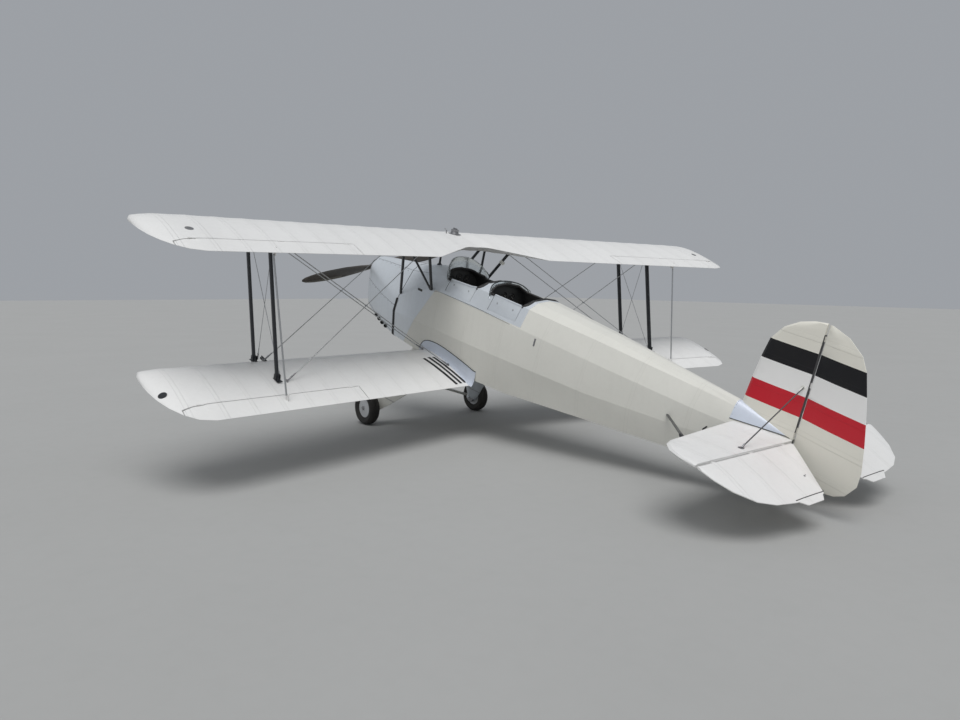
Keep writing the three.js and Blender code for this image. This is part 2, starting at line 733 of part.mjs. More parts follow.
// Tail surfaces. A section runs from its lead to its trail, with a thickness at each
function panelSection(lead, trail, thickLead, thickTrail, nose, toPoint) {
  const length = lead - trail;
  const places = [
    [lead, 0],
    [lead - Math.min(nose, length * 0.3), thickLead * 0.36],
    [lead - length * 0.45, thickLead / 2],
    [trail, thickTrail / 2],
  ];
  const upper = places.map(([x, t]) => toPoint(x, t));
  const lower = places.slice(1).reverse().map(([x, t]) => toPoint(x, -t));
  return [...upper, ...lower];
}

// Fin rows: height and leading edge
const finRows = [
  [20, -5640],
  [378, -5678],
  [552, -5701],
  [720, -5735],
  [838, -5818],
  [910, -5930],
  [945, -6040],
  [finTop, -6125],
];
const finBack = rudderHinge + runningGap + 8;
const postThick = 34;
const leadNose = 24;
const finGrown = (grow) => loft(finRows.map(([z, lead]) => {
  const thick = finThick * Math.min(1, (lead - finBack) / 200 + 0.15) + grow;
  return panelSection(lead, finBack, thick, Math.min(thick, postThick + grow), leadNose, (x, t) => v3(x, t, z));
}));
const finSolid = finGrown(0).subtract(bodyAround);

// Tail hinges: a pin on the fixed surface, and a groove and notch in the moving one
const tailPin = 8;
const tailGroove = 8.7;
const tailPinHalf = 20;
const rudderHinges = [120, 480, 840];
const elevatorHinges = [180, 620, 1080];

function tailHinge(centre, line) {
  const plate = boxSolid(v3(0, -tailPinHalf, -3), v3(runningGap + 14, tailPinHalf, 3));
  const turnedPlate = line.z > 0.5 ? plate.rotate([90, 0, 0]) : plate;
  return barAlong(line, centre, tailPin, tailPinHalf).add(turnedPlate.translate(centre.toArray()));
}

function hingeNotch(centre, line) {
  const notch = boxSolid(v3(0, -tailPinHalf - 3, -30), v3(30, tailPinHalf + 3, 30));
  const turnedNotch = line.z > 0.5 ? notch.rotate([90, 0, 0]) : notch;
  return barAlong(line, centre, tailGroove, tailPinHalf + 3).add(turnedNotch.translate(centre.toArray()));
}

const upright = v3(0, 0, 1);
const spanwise = v3(0, 1, 0);
const finPins = joined(rudderHinges.map((z) => tailHinge(v3(rudderHinge, 0, z), upright)));
place('fin', finSolid.add(finPins), 'fabric');

const rudderGroup = new THREE.Group();
rudderGroup.position.set(rudderHinge, 0, 0);
rudderGroup.rotation.z = -rad(rudderRest);
aircraft.add(rudderGroup);

// Rudder rows: height and reach behind the hinge
const rudderRows = [
  [-212, 372],
  [-195, 440],
  [-150, 520],
  [-50, 584],
  [60, 582],
  [240, 540],
  [394, 497],
  [569, 441],
  [723, 384],
  [818, 319],
  [906, 180],
  [950, 24],
];
const rudderLow = -190;
const rudderSolid = loft(rudderRows.map(([z, reach]) => (
  panelSection(4, -reach, 34 * Math.min(1, reach / 200 + 0.2), 6, 12, (x, t) => v3(x, t, z))
))).subtract(boxSolid(v3(-360, -50, -260), v3(60, 50, rudderLow)))
  .subtract(joined(rudderHinges.map((z) => hingeNotch(v3(0, 0, z), upright))));
place('rudder', rudderSolid, 'fabric', rudderGroup);

// Tailplane rows: station and leading edge
const stabRows = [
  [0, -5640],
  [1000, -5752],
  [1100, -5790],
  [1185, -5880],
  [1236, -6000],
  [1262, -6125],
];
const hingeX = rudderHinge - 5;
const stabBack = hingeX + runningGap + 6;
const stabGrown = (grow) => loft(stabRows.map(([y, lead]) => {
  const thick = tailThick * Math.min(1, (lead - stabBack) / 200 + 0.2) + grow;
  return panelSection(lead, stabBack, thick, Math.min(thick, postThick + grow), leadNose, (x, t) => (
    v3(x, y, tailHeight + (x - hingeX) * Math.tan(rad(tailIncidence)) + t)));
}));
const stabSolid = stabGrown(0).subtract(boxSolid(v3(stabBack - 20, -40, -200), v3(sternPost + 150, 26, 300)));
const stabPins = joined(elevatorHinges.map((y) => tailHinge(v3(hingeX, y, tailHeight), spanwise)));
placePair('stabilizer', stabSolid.add(stabPins), 'white', [bodyAround]);

// Elevator rows: station and reach behind the hinge, with the trim tab's bump
const elevatorRows = [
  [62, 44],
  [312, 460],
  [330, 462],
  [385, 506],
  [592, 506],
  [655, 462],
  [705, 458],
  [890, 431],
  [1040, 370],
  [1165, 250],
  [1232, 130],
  [1258, 40],
];
const elevatorSolid = loft(elevatorRows.map(([y, reach]) => (
  panelSection(4, -reach, 34 * Math.min(1, reach / 200 + 0.3), 6, 12, (x, t) => v3(x, y, t))
))).subtract(joined(elevatorHinges.map((y) => hingeNotch(v3(0, y, 0), spanwise))));
const elevatorGroup = new THREE.Group();
elevatorGroup.position.set(hingeX, 0, tailHeight);
elevatorGroup.rotation.y = -rad(elevatorRest);
aircraft.add(elevatorGroup);
placePair('elevator', elevatorSolid, 'white', [], elevatorGroup);

// Tail bracing: a wire from the fin to each tailplane half and a strut below it
const braceStation = 640;
const stabAround = stabGrown(2 * seatGap);
const finAround = finGrown(2 * seatGap);
const upperBrace = bar(v3(-6105, 12, 455), v3(-6085, braceStation, tailHeight + 6), 14, 14, 8)
  .subtract(stabAround).subtract(finAround);
const lowerBrace = bar(v3(-5140, 184, -145), v3(-5745, 850, tailHeight - 18), 30, 18, 8)
  .subtract(stabAround);
placePair('tail_wire', upperBrace, 'steel');
placePair('tail_strut', lowerBrace, 'black', [bodyAround]);

// Main undercarriage: a faired leg each side, half axles and the pyramid that carries them
const legHalf = { top: 318, bottom: 735 };
const axleRadius = 22;
const apex = v3(wheelX - 40, 0, -1190);

function gearLeg() {
  // Leg columns: height, leading edge, trailing edge, thickness
  const legRows = [
    [-700, -1600, -2330, 58],
    [-1090, -1610, -2020, 54],
    [-1330, -1535, -1795, 48],
    [-1470, -1500, -1650, 44],
  ];
  const fairing = loft(legRows.map(([z, lead, trail, thick]) => {
    const share = (z - legRows[0][0]) / (wheelZ - legRows[0][0]);
    const y = lerp(legHalf.top, legHalf.bottom, share);
    return panelSection(lead, trail, thick, 8, 40, (x, t) => v3(x, y + t, z));
  }));
  const stub = bar(v3(wheelX, 690, wheelZ), v3(wheelX, wheelHalfTrack - 30, wheelZ), axleRadius * 2, axleRadius * 2, 12);
  return fairing.add(stub).subtract(underLowerWing);
}
placePair('gear_leg', gearLeg(), 'fabric', [bodyAround]);

function axlePyramid() {
  const halfAxle = bar(apex, v3(wheelX, legHalf.bottom - 70, wheelZ + 30), 46, 34, 10);
  const stays = [[-1480, 190], [-1950, 190]].map(([x, y]) => bar(apex, v3(x, y, -700), 30, 30, 8));
  const half = joined([halfAxle, ...stays]);
  const core = turned([[0, -34], [34, -34], [34, 34], [0, 34]], 16, 'x').translate(apex.toArray());
  return joined([half, mirrored(half), core]).subtract(bodyAround);
}
place('axle_pyramid', axlePyramid(), 'fabric');

// Wheels: tyre and disc turn together
function wheel(radius, width, discRadius, boreRadius, segments) {
  const half = width / 2;
  const profile = [
    [boreRadius, -half * 0.75],
    [discRadius * 0.5, -half * 0.8],
    [discRadius, -half * 0.55],
    [radius * 0.8, -half],
    [radius * 0.93, -half * 0.8],
    [radius * 0.985, -half * 0.45],
    [radius, 0],
    [radius * 0.985, half * 0.45],
    [radius * 0.93, half * 0.8],
    [radius * 0.8, half],
    [discRadius, half * 0.55],
    [discRadius * 0.5, half * 0.8],
    [boreRadius, half * 0.75],
    [boreRadius, -half * 0.75],
  ];
  return turned(profile, segments, 'y');
}

const mainWheel = wheel(wheelRadius, tyreWidth, 118, axleRadius + seatGap + 0.7, 40)
  .translate([wheelX, wheelHalfTrack, wheelZ]);
placePair('wheel', mainWheel, 'rubber');

// Tail wheel, upright to the ground, turned with the rudder at rest
const groundRise = (x, z) => x * Math.sin(rad(parkedNoseUp)) + z * Math.cos(rad(parkedNoseUp));
const wheelCentreRise = groundRise(wheelX, wheelZ);
const groundLevel = wheelCentreRise - wheelRadius;
const pivotRun = -5800;
const trailLength = 60;

const tailGroup = new THREE.Group();
tailGroup.rotation.z = -rad(rudderRest);
const tailGround = new THREE.Group();

function tailFork(postTop) {
  const axleHeight = groundLevel + tailWheelRadius;
  const cheek = tailWheelWidth / 2 + 7;
  const plates = [-1, 1].map((s) => loft([
    [-cheek * s, -trailLength - 24, axleHeight - 14],
    [-cheek * s, 26, axleHeight + tailWheelRadius + 8],
  ].map(([y, x, z]) => [[0, 0], [38, 0], [38, 8 * s], [0, 8 * s]].map(([dx, dy]) => v3(x + dx, y - dy, z)))));
  const crown = boxSolid(
    v3(-34, -cheek - 8, axleHeight + tailWheelRadius + 8),
    v3(66, cheek + 8, axleHeight + tailWheelRadius + 24),
  );
  const base = axleHeight + tailWheelRadius + 12;
  const post = turned([[0, base], [24, base], [24, postTop], [0, postTop]], 16, 'y').rotate([90, 0, 0]);
  const axle = turned([[0, -cheek], [8, -cheek], [8, cheek], [0, cheek]], 12, 'y')
    .translate([-trailLength, 0, axleHeight]);
  return joined([...plates, crown, post, axle]);
}
// The keel over the pivot, in the ground's axes
const groundRun = (x, z) => x * Math.cos(rad(parkedNoseUp)) - z * Math.sin(rad(parkedNoseUp));
const [keelAhead, keelBehind] = bodyRows.slice(-2).map((row) => {
  const keel = row[columns.indexOf('keel')];
  return { run: groundRun(row[0], keel), rise: groundRise(row[0], keel) };
});
const keelShare = (pivotRun - keelAhead.run) / (keelBehind.run - keelAhead.run);
const keelRise = lerp(keelAhead.rise, keelBehind.rise, keelShare);
const forkSolid = tailFork(keelRise - 3 * seatGap);
tailGroup.position.set(pivotRun, 0, 0);
tailGround.add(tailGroup);
place('tail_fork', forkSolid, 'black', tailGroup);
const tailWheelSolid = wheel(tailWheelRadius, tailWheelWidth, 58, 9, 28)
  .translate([-trailLength, 0, groundLevel + tailWheelRadius]);
place('tail_wheel', tailWheelSolid, 'rubber', tailGroup);

// Stand the airframe on its wheels, centred on its own plan
const parked = new THREE.Group();
const tipped = new THREE.Group();
tipped.rotation.y = -rad(parkedNoseUp);
tipped.add(aircraft);
parked.add(tipped, tailGround);
parked.updateMatrixWorld(true);
const plan = new THREE.Box3().setFromObject(parked, true);
parked.position.set(-(plan.min.x + plan.max.x) / 2, 0, -plan.min.z);
const whole = new THREE.Group();
whole.add(parked);

export default whole;
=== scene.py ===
"""Looks of a two-seat training biplane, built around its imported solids.

Lengths are metres. Most pieces are placed in the airframe's own axes, X forward along the
thrust line, Y to port and Z up, and Stance turns such a place into the part's frame.
"""

import json
import logging
import random
from collections.abc import Callable, Iterable
from dataclasses import dataclass, field
from enum import Enum
from functools import cached_property
from math import ceil, copysign, cos, floor, pi, radians, sin, sqrt, tan

import bpy
from mathutils import Matrix, Vector
from mathutils.bvhtree import BVHTree


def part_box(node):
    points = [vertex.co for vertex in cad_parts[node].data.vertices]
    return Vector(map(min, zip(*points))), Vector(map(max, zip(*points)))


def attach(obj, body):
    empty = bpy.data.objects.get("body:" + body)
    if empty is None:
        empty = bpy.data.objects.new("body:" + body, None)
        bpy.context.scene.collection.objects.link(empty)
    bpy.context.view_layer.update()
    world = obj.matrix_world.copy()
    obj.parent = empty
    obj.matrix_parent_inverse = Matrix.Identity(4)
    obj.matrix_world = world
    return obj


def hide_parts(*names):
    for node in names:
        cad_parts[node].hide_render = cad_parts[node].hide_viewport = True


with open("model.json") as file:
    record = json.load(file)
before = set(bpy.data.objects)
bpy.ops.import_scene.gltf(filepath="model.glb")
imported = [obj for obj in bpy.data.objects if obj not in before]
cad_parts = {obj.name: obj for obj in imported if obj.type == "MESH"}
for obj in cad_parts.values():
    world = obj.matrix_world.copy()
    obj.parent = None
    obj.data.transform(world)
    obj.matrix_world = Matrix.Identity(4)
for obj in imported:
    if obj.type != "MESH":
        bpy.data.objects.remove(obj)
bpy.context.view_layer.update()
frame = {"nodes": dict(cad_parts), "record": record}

log = logging.getLogger("biplane")
Row = tuple[float, ...]
Colour = tuple[float, float, float]
Piece = bpy.types.Object
Socket = bpy.types.NodeSocket
Place = tuple[Vector, Vector]


class Side(Enum):
    """The two sides of the aircraft, as the sign of Y."""

    PORT = 1
    STARBOARD = -1

    @property
    def label(self) -> str:
        """The side's name as the nodes spell it."""
        return self.name.lower()

    @property
    def out(self) -> Vector:
        """The way outwards on this side."""
        return Vector((0, self.value, 0))

    def at(self, x: float, y: float, z: float) -> Vector:
        """A point of this side, y metres out from the middle, in the part's frame."""
        return stance.at(x, y * self.value, z)


class Gloss(Enum):
    """How much clear coat lies over a finish."""

    NONE = 0.0
    SATIN = 0.12
    VARNISHED = 0.7


# The airframe's attitude and the places that several classes share


@dataclass(frozen=True)
class Stance:
    """How the airframe's own axes stand in the part's frame."""

    nose_up: float = radians(14.18)
    wheel: Row = (-1.567, 0.823, -1.443)

    @property
    def turn(self) -> Matrix:
        """The rotation from the airframe's axes to the part's."""
        return Matrix.Rotation(-self.nose_up, 3, "Y")

    @cached_property
    def shift(self) -> Vector:
        """The airframe's origin in the part's frame, read from where the main wheel stands."""
        low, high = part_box("wheel_port")
        return (low + high) / 2 - self.turn @ Vector(self.wheel)

    def at(self, x: float, y: float, z: float) -> Vector:
        """A point of the airframe's axes in the part's frame."""
        return self.turn @ Vector((x, y, z)) + self.shift

    def along(self, x: float, y: float, z: float) -> Vector:
        """A direction of the airframe's axes in the part's frame, at length one."""
        return (self.turn @ Vector((x, y, z))).normalized()


stance = Stance()
FORWARD = stance.along(1, 0, 0)
UPWARD = stance.along(0, 0, 1)
SPANWISE = Vector((0, 1, 0))
LEVEL = Vector((0, 0, 1))


@dataclass(frozen=True)
class Wing:
    """The place and section of one wing, as in the part's source."""

    x: float
    z: float
    dihedral: float
    incidence: float
    chord: float = 1.0
    sweep: float = 11.23

    @staticmethod
    def skin_height(fraction: float, top: bool = True) -> float:
        """Height of the skin over the chord line, as a share of the chord.

        Args:
            fraction: Place along the chord, 0 at the leading edge.
            top: True for the upper skin.

        Returns:
            The height divided by the chord.
        """
        f = fraction
        if not top:
            return 0.035 * max(0.0, 1 - f / 0.08) ** 2
        body = 0.2969 * sqrt(f) - 0.126 * f - 0.3516 * f**2 + 0.2843 * f**3 - 0.1015 * f**4
        return 1.17 * body + 0.035 / (1 + f / 0.013)

    def point(self, y: float, fraction: float, top: bool = True, lift: float = 0.0) -> Vector:
        """A point of the skin in the part's frame.

        Args:
            y: Station along the span, negative on the starboard side.
            fraction: Place along the chord.
            top: True for the upper skin.
            lift: Height over the skin, in metres.

        Returns:
            The point in the part's frame.
        """
        tilt = radians(self.incidence)
        run = abs(y) * tan(radians(self.sweep)) + fraction * self.chord * cos(tilt)
        rise = abs(y) * tan(radians(self.dihedral)) - fraction * self.chord * sin(tilt)
        rise += self.skin_height(fraction, top) * self.chord + lift
        return stance.at(self.x - run, y, self.z + rise)


UPPER = Wing(x=-1.323, z=0.563, dihedral=1.95, incidence=0.95)
LOWER = Wing(x=-1.726, z=-0.743, dihedral=3.57, incidence=1.27)
FRONT_SPAR = 0.065
REAR_SPAR = 0.568
STRUT_STATION = 2.597


@dataclass(frozen=True)
class Hull:
    """Sections of the cowling and fuselage, as in the part's source.

    Columns: place, deck height, shoulder half width and height, side half width and height,
    crease half width and height, lower longeron half width and height, keel height.
    """

    cowl: tuple[Row, ...] = (
        (-0.190, 0.070, 0.080, 0.045, 0.150, -0.050, 0.158, -0.290, 0.130, -0.500, -0.535),
        (-0.250, 0.092, 0.095, 0.062, 0.182, -0.055, 0.190, -0.300, 0.162, -0.540, -0.580),
        (-0.480, 0.125, 0.120, 0.085, 0.235, -0.090, 0.248, -0.335, 0.210, -0.590, -0.635),
        (-0.820, 0.168, 0.150, 0.108, 0.300, -0.155, 0.322, -0.365, 0.288, -0.640, -0.692),
        (-1.185, 0.212, 0.178, 0.128, 0.350, -0.220, 0.378, -0.375, 0.348, -0.672, -0.728),
    )
    body: tuple[Row, ...] = (
        (-1.185, 0.212, 0.178, 0.128, 0.350, -0.220, 0.378, -0.375, 0.348, -0.672, -0.728),
        (-1.560, 0.288, 0.215, 0.190, 0.352, 0.005, 0.394, -0.362, 0.352, -0.688, -0.738),
        (-2.000, 0.342, 0.262, 0.262, 0.352, 0.075, 0.396, -0.340, 0.352, -0.700, -0.738),
        (-2.700, 0.348, 0.272, 0.262, 0.352, 0.083, 0.396, -0.315, 0.352, -0.690, -0.724),
        (-3.310, 0.347, 0.262, 0.262, 0.345, 0.062, 0.385, -0.290, 0.332, -0.640, -0.664),
        (-4.300, 0.286, 0.190, 0.215, 0.272, 0.030, 0.304, -0.262, 0.250, -0.520, -0.540),
        (-5.300, 0.204, 0.095, 0.150, 0.160, -0.010, 0.174, -0.195, 0.150, -0.405, -0.418),
        (-5.654, 0.173, 0.062, 0.125, 0.105, -0.020, 0.111, -0.160, 0.096, -0.340, -0.350),
        (-6.140, 0.044, 0.010, 0.036, 0.015, -0.020, 0.016, -0.110, 0.014, -0.224, -0.232),
    )

    @staticmethod
    def half(row: Row) -> list[tuple[float, float]]:
        """Corners of one side, from the deck's middle to the keel's edge.

        Args:
            row: Values of one section.

        Returns:
            The corners as half width and height.
        """
        _, top, sh_y, sh_z, sd_y, sd_z, cr_y, cr_z, lo_y, lo_z, keel = row
        slope = (0.6 * sh_y, top - 0.24 * (top - sh_z))
        keel_edge = (0.62 * lo_y, keel)
        return [(0.0, top), slope, (sh_y, sh_z), (sd_y, sd_z), (cr_y, cr_z), (lo_y, lo_z), keel_edge]

    def section(self, x: float) -> Row:
        """The row of values at a place along the fuselage.

        Args:
            x: Place along the fuselage.

        Returns:
            The values between the two nearest rows.
        """
        rows = self.cowl if x > self.body[0][0] else self.body
        for ahead, behind in zip(rows, rows[1:]):
            if x >= behind[0]:
                break
        share = (ahead[0] - x) / (ahead[0] - behind[0])
        return tuple(a + (b - a) * share for a, b in zip(ahead, behind))

    def point(self, x: float, share: float, side: Side = Side.PORT, lift: float = 0.0) -> Vector:
        """A point of the skin in the part's frame.

        Args:
            x: Place along the fuselage in the airframe's axes.
            share: Corner number from 0 at the deck's middle to 6 at the keel's edge, with fractions.
            side: The aircraft's side.
            lift: Height over the skin.

        Returns:
            The point in the part's frame.
        """
        corners = self.half(self.section(x))
        k = min(5, int(share))
        start, end = Vector(corners[k]), Vector(corners[k + 1])
        place = start.lerp(end, share - k)
        along = (end - start).normalized()
        place += Vector((-along.y, along.x)) * lift
        return side.at(x, place.x, place.y)

    def head(self, x: float, share: float, side: Side, lift: float = 0.0, reach: float = 1.0) -> Place:
        """A point of the skin and the way out of it, for the head of a rivet."""
        place = self.point(x, share, side, lift)
        return place, self.point(x, share, side, reach) - place


hull = Hull()


# Node trees


class Tree:
    """Builds a node tree line by line."""

    def __init__(self, tree: bpy.types.NodeTree) -> None:
        """Keeps the tree that the nodes go into."""
        self.tree = tree

    def add(self, kind: str, **settings: object) -> bpy.types.Node:
        """Adds one node and sets what is given.

        Args:
            kind: The node's type name without its ShaderNode prefix.
            **settings: Node properties by name.

        Returns:
            The new node.
        """
        node = self.tree.nodes.new(kind if kind.startswith("Node") else "ShaderNode" + kind)
        for key, value in settings.items():
            setattr(node, key, value)
        return node

    def feed(self, socket: Socket, value: object) -> None:
        """Links a socket to another socket, or sets its value.

        Args:
            socket: The input to fill.
            value: A socket, a number, a vector or a colour.
        """
        if isinstance(value, Socket):
            self.tree.links.new(value, socket)
        elif hasattr(socket, "default_value"):
            if socket.type == "RGBA" and len(value) == 3:
                value = (*value, 1.0)
            socket.default_value = value

    @property
    def place(self) -> Socket:
        """The point of the surface in the part's frame."""
        return self.add("TexCoord").outputs["Object"]

    def stretched(self, place: Socket, scale: Row) -> Socket:
        """A place with each axis scaled, for noise drawn out into lines.

        Args:
            place: The place to scale.
            scale: Factor of each axis.

        Returns:
            The scaled place.
        """
        node = self.add("Mapping")
        node.inputs["Scale"].default_value = scale
        self.feed(node.inputs["Vector"], place)
        return node.outputs[0]

    def math(self, operation: str, *values: object, clamp: bool = False) -> Socket:
        """A Math node over sockets or numbers, and its result.

        Args:
            operation: The node's operation.
            *values: Sockets or numbers.
            clamp: Holds the result between 0 and 1.

        Returns:
            The result.
        """
        node = self.add("Math", operation=operation, use_clamp=clamp)
        for socket, value in zip(node.inputs, values):
            self.feed(socket, value)
        return node.outputs[0]

    def dot(self, vector: object, direction: object) -> Socket:
        """The length of a vector along a direction.

        Args:
            vector: The vector to measure.
            direction: The direction, at length one.

        Returns:
            The length.
        """
        node = self.add("VectorMath", operation="DOT_PRODUCT")
        self.feed(node.inputs[0], vector)
        self.feed(node.inputs[1], direction)
        return node.outputs["Value"]

    def mix(self, share: object, first: object, second: object) -> Socket:
        """A colour between two colours.

        Args:
            share: How much of the second colour shows.
            first: The first colour.
            second: The second colour.

        Returns:
            The mixed colour.
        """
        node = self.add("Mix", data_type="RGBA")
        self.feed(node.inputs["Factor"], share)
        self.feed(node.inputs[6], first)
        self.feed(node.inputs[7], second)
        return node.outputs[2]

    def noise(self, vector: object, scale: object, detail: float = 3.0) -> Socket:
        """Soft noise between 0 and 1.

        Args:
            vector: The place to read it at.
            scale: How fine it is.
            detail: How many finer layers it has.

        Returns:
            The noise.
        """
        node = self.add("TexNoise")
        self.feed(node.inputs["Vector"], vector)
        self.feed(node.inputs["Scale"], scale)
        node.inputs["Detail"].default_value = detail
        return node.outputs[0]

    def spread(self, value: object, low: float, high: float) -> Socket:
        """Stretches low..high to 0..1 and holds it there.

        Args:
            value: The value to stretch.
            low: What becomes 0.
            high: What becomes 1.

        Returns:
            The stretched value.
        """
        node = self.add("MapRange")
        self.feed(node.inputs["Value"], value)
        node.inputs["From Min"].default_value = low
        node.inputs["From Max"].default_value = high
        return node.outputs["Result"]

    def group(self, name: str, **values: object) -> bpy.types.Node:
        """Places a shared node group with its own values.

        Args:
            name: The group's name.
            **values: Its inputs by name.

        Returns:
            The group's node.
        """
        node = self.add("Group", node_tree=bpy.data.node_groups[name])
        for key, value in values.items():
            self.feed(node.inputs[key.replace("_", " ").capitalize()], value)
        return node


class SharedEffects:
    """Node groups that more than one finish uses."""

    @staticmethod
    def start(name: str, inputs: dict[str, object], outputs: dict[str, str]) -> tuple[Tree, object, object]:
        """Makes an empty group with its sockets.

        Args:
            name: The group's name.
            inputs: Default value of each input by name, a colour, vector or number.
            outputs: Type of each output by name.

        Returns:
            The tree builder, the group's input node and its output node.
        """
        group = bpy.data.node_groups.new(name, "ShaderNodeTree")
        for key, value in inputs.items():
            kind = "NodeSocketFloat"
            if isinstance(value, tuple):
                kind = "NodeSocketColor" if len(value) == 4 else "NodeSocketVector"
            socket = group.interface.new_socket(key, in_out="INPUT", socket_type=kind)
            socket.default_value = value
        for key, kind in outputs.items():
            group.interface.new_socket(key, in_out="OUTPUT", socket_type="NodeSocket" + kind)
        tree = Tree(group)
        return tree, tree.add("NodeGroupInput"), tree.add("NodeGroupOutput")

    def build(self) -> None:
        """Makes every shared group once."""
        self.weathering()
        self.weave()
        self.tape_lines()
        self.brushing()

    def weathering(self) -> None:
        """Dust, soft stains and rain streaks over a colour and its roughness."""
        tree, given, result = self.start(
            "weathering",
            {"Colour": (1.0, 1.0, 1.0, 1.0), "Dirt": (0.2, 0.18, 0.14, 1.0), "Amount": 0.2, "Scale": 2.0,
             "Roughness": 0.5},
            {"Colour": "Color", "Roughness": "Float"},
        )
        place = tree.place
        broad = tree.spread(tree.noise(place, given.outputs["Scale"], 5.0), 0.35, 0.75)
        close = tree.math("MULTIPLY", given.outputs["Scale"], 14.0)
        fine = tree.spread(tree.noise(place, close, 4.0), 0.45, 0.8)
        drawn_down = tree.stretched(place, (9.0, 9.0, 0.8))
        streaks = tree.spread(tree.noise(drawn_down, given.outputs["Scale"], 3.0), 0.5, 0.85)
        soil = tree.math("ADD", tree.math("MULTIPLY", broad, 0.55), tree.math("MULTIPLY", fine, 0.3))
        soil = tree.math("ADD", soil, tree.math("MULTIPLY", streaks, 0.35), clamp=True)
        share = tree.math("MULTIPLY", soil, given.outputs["Amount"], clamp=True)
        tree.feed(result.inputs["Colour"], tree.mix(share, given.outputs["Colour"], given.outputs["Dirt"]))
        rough = tree.math("ADD", given.outputs["Roughness"], tree.math("MULTIPLY", share, 0.5), clamp=True)
        tree.feed(result.inputs["Roughness"], rough)

    def weave(self) -> None:
        """The crossing threads of doped cloth, webbing or leather grain, as a height."""
        tree, given, result = self.start("weave", {"Scale": 400.0}, {"Height": "Float"})
        place = tree.place
        threads = []
        for direction in (FORWARD + SPANWISE * 0.02, SPANWISE + UPWARD * 0.9):
            run = tree.math("MULTIPLY", tree.dot(place, direction), given.outputs["Scale"])
            threads.append(tree.math("SINE", run))
        tree.feed(result.inputs["Height"], tree.math("ADD", threads[0], threads[1]))

    def tape_lines(self) -> None:
        """Evenly spaced tapes across one direction, as a soft-edged mask."""
        tree, given, result = self.start(
            "tape lines",
            {"Direction": (0.0, 1.0, 0.0), "Pitch": 0.27, "Width": 0.03, "Start": 0.0},
            {"Mask": "Float"},
        )
        place = tree.place
        run = tree.math("SUBTRACT", tree.dot(place, given.outputs["Direction"]), given.outputs["Start"])
        bay = tree.math("PINGPONG", run, tree.math("MULTIPLY", given.outputs["Pitch"], 0.5))
        inside = tree.math("SUBTRACT", tree.math("MULTIPLY", given.outputs["Width"], 0.5), bay)
        tree.feed(result.inputs["Mask"], tree.math("MULTIPLY", inside, 900.0, clamp=True))

    def brushing(self) -> None:
        """Fine scratches and orange peel of worn paint or metal, as a height."""
        tree, given, result = self.start("brushing", {"Scale": 60.0}, {"Height": "Float"})
        place = tree.place
        lines = tree.noise(tree.stretched(place, (1.0, 12.0, 6.0)), given.outputs["Scale"], 4.0)
        peel = tree.noise(place, tree.math("MULTIPLY", given.outputs["Scale"], 4.0), 2.0)
        tree.feed(result.inputs["Height"], tree.math("ADD", lines, tree.math("MULTIPLY", peel, 0.4)))


# Finishes


@dataclass(frozen=True)
class Finish:
    """A painted or bare surface with weathering and a little relief."""

    name: str
    colour: Colour
    roughness: float = 0.5
    metallic: float = 0.0
    gloss: Gloss = Gloss.NONE
    dirt: Colour = (0.22, 0.2, 0.16)
    dirt_amount: float = 0.15
    dirt_scale: float = 2.0
    relief: float = 0.0004
    grain: float = 60.0

    def base_colour(self, tree: Tree) -> object:
        """The colour before weathering, a colour or a socket."""
        return self.colour

    def height(self, tree: Tree) -> Socket:
        """The relief that feeds the bump."""
        return tree.group("brushing", scale=self.grain).outputs["Height"]

    def finish_shader(self, shader: bpy.types.Node) -> None:
        """Sets sockets that are the same all over the surface."""
        shader.inputs["Coat Weight"].default_value = self.gloss.value
        shader.inputs["Coat Roughness"].default_value = 0.12

    def build(self) -> bpy.types.Material:
        """Makes the material once and returns it afterwards.

        Returns:
            The material with this finish's name.
        """
        known = bpy.data.materials.get(self.name)
        if known is not None:
            return known
        material = bpy.data.materials.new(self.name)
        material.use_nodes = True
        tree = Tree(material.node_tree)
        shader = material.node_tree.nodes["Principled BSDF"]
        worn = tree.group(
            "weathering", colour=self.base_colour(tree), dirt=self.dirt, amount=self.dirt_amount,
            scale=self.dirt_scale, roughness=self.roughness,
        )
        tree.feed(shader.inputs["Base Color"], worn.outputs["Colour"])
        tree.feed(shader.inputs["Roughness"], worn.outputs["Roughness"])
        shader.inputs["Metallic"].default_value = self.metallic
        bump = tree.add("Bump")
        bump.inputs["Distance"].default_value = self.relief
        tree.feed(bump.inputs["Height"], self.height(tree))
        tree.feed(shader.inputs["Normal"], bump.outputs["Normal"])
        self.finish_shader(shader)
        return material


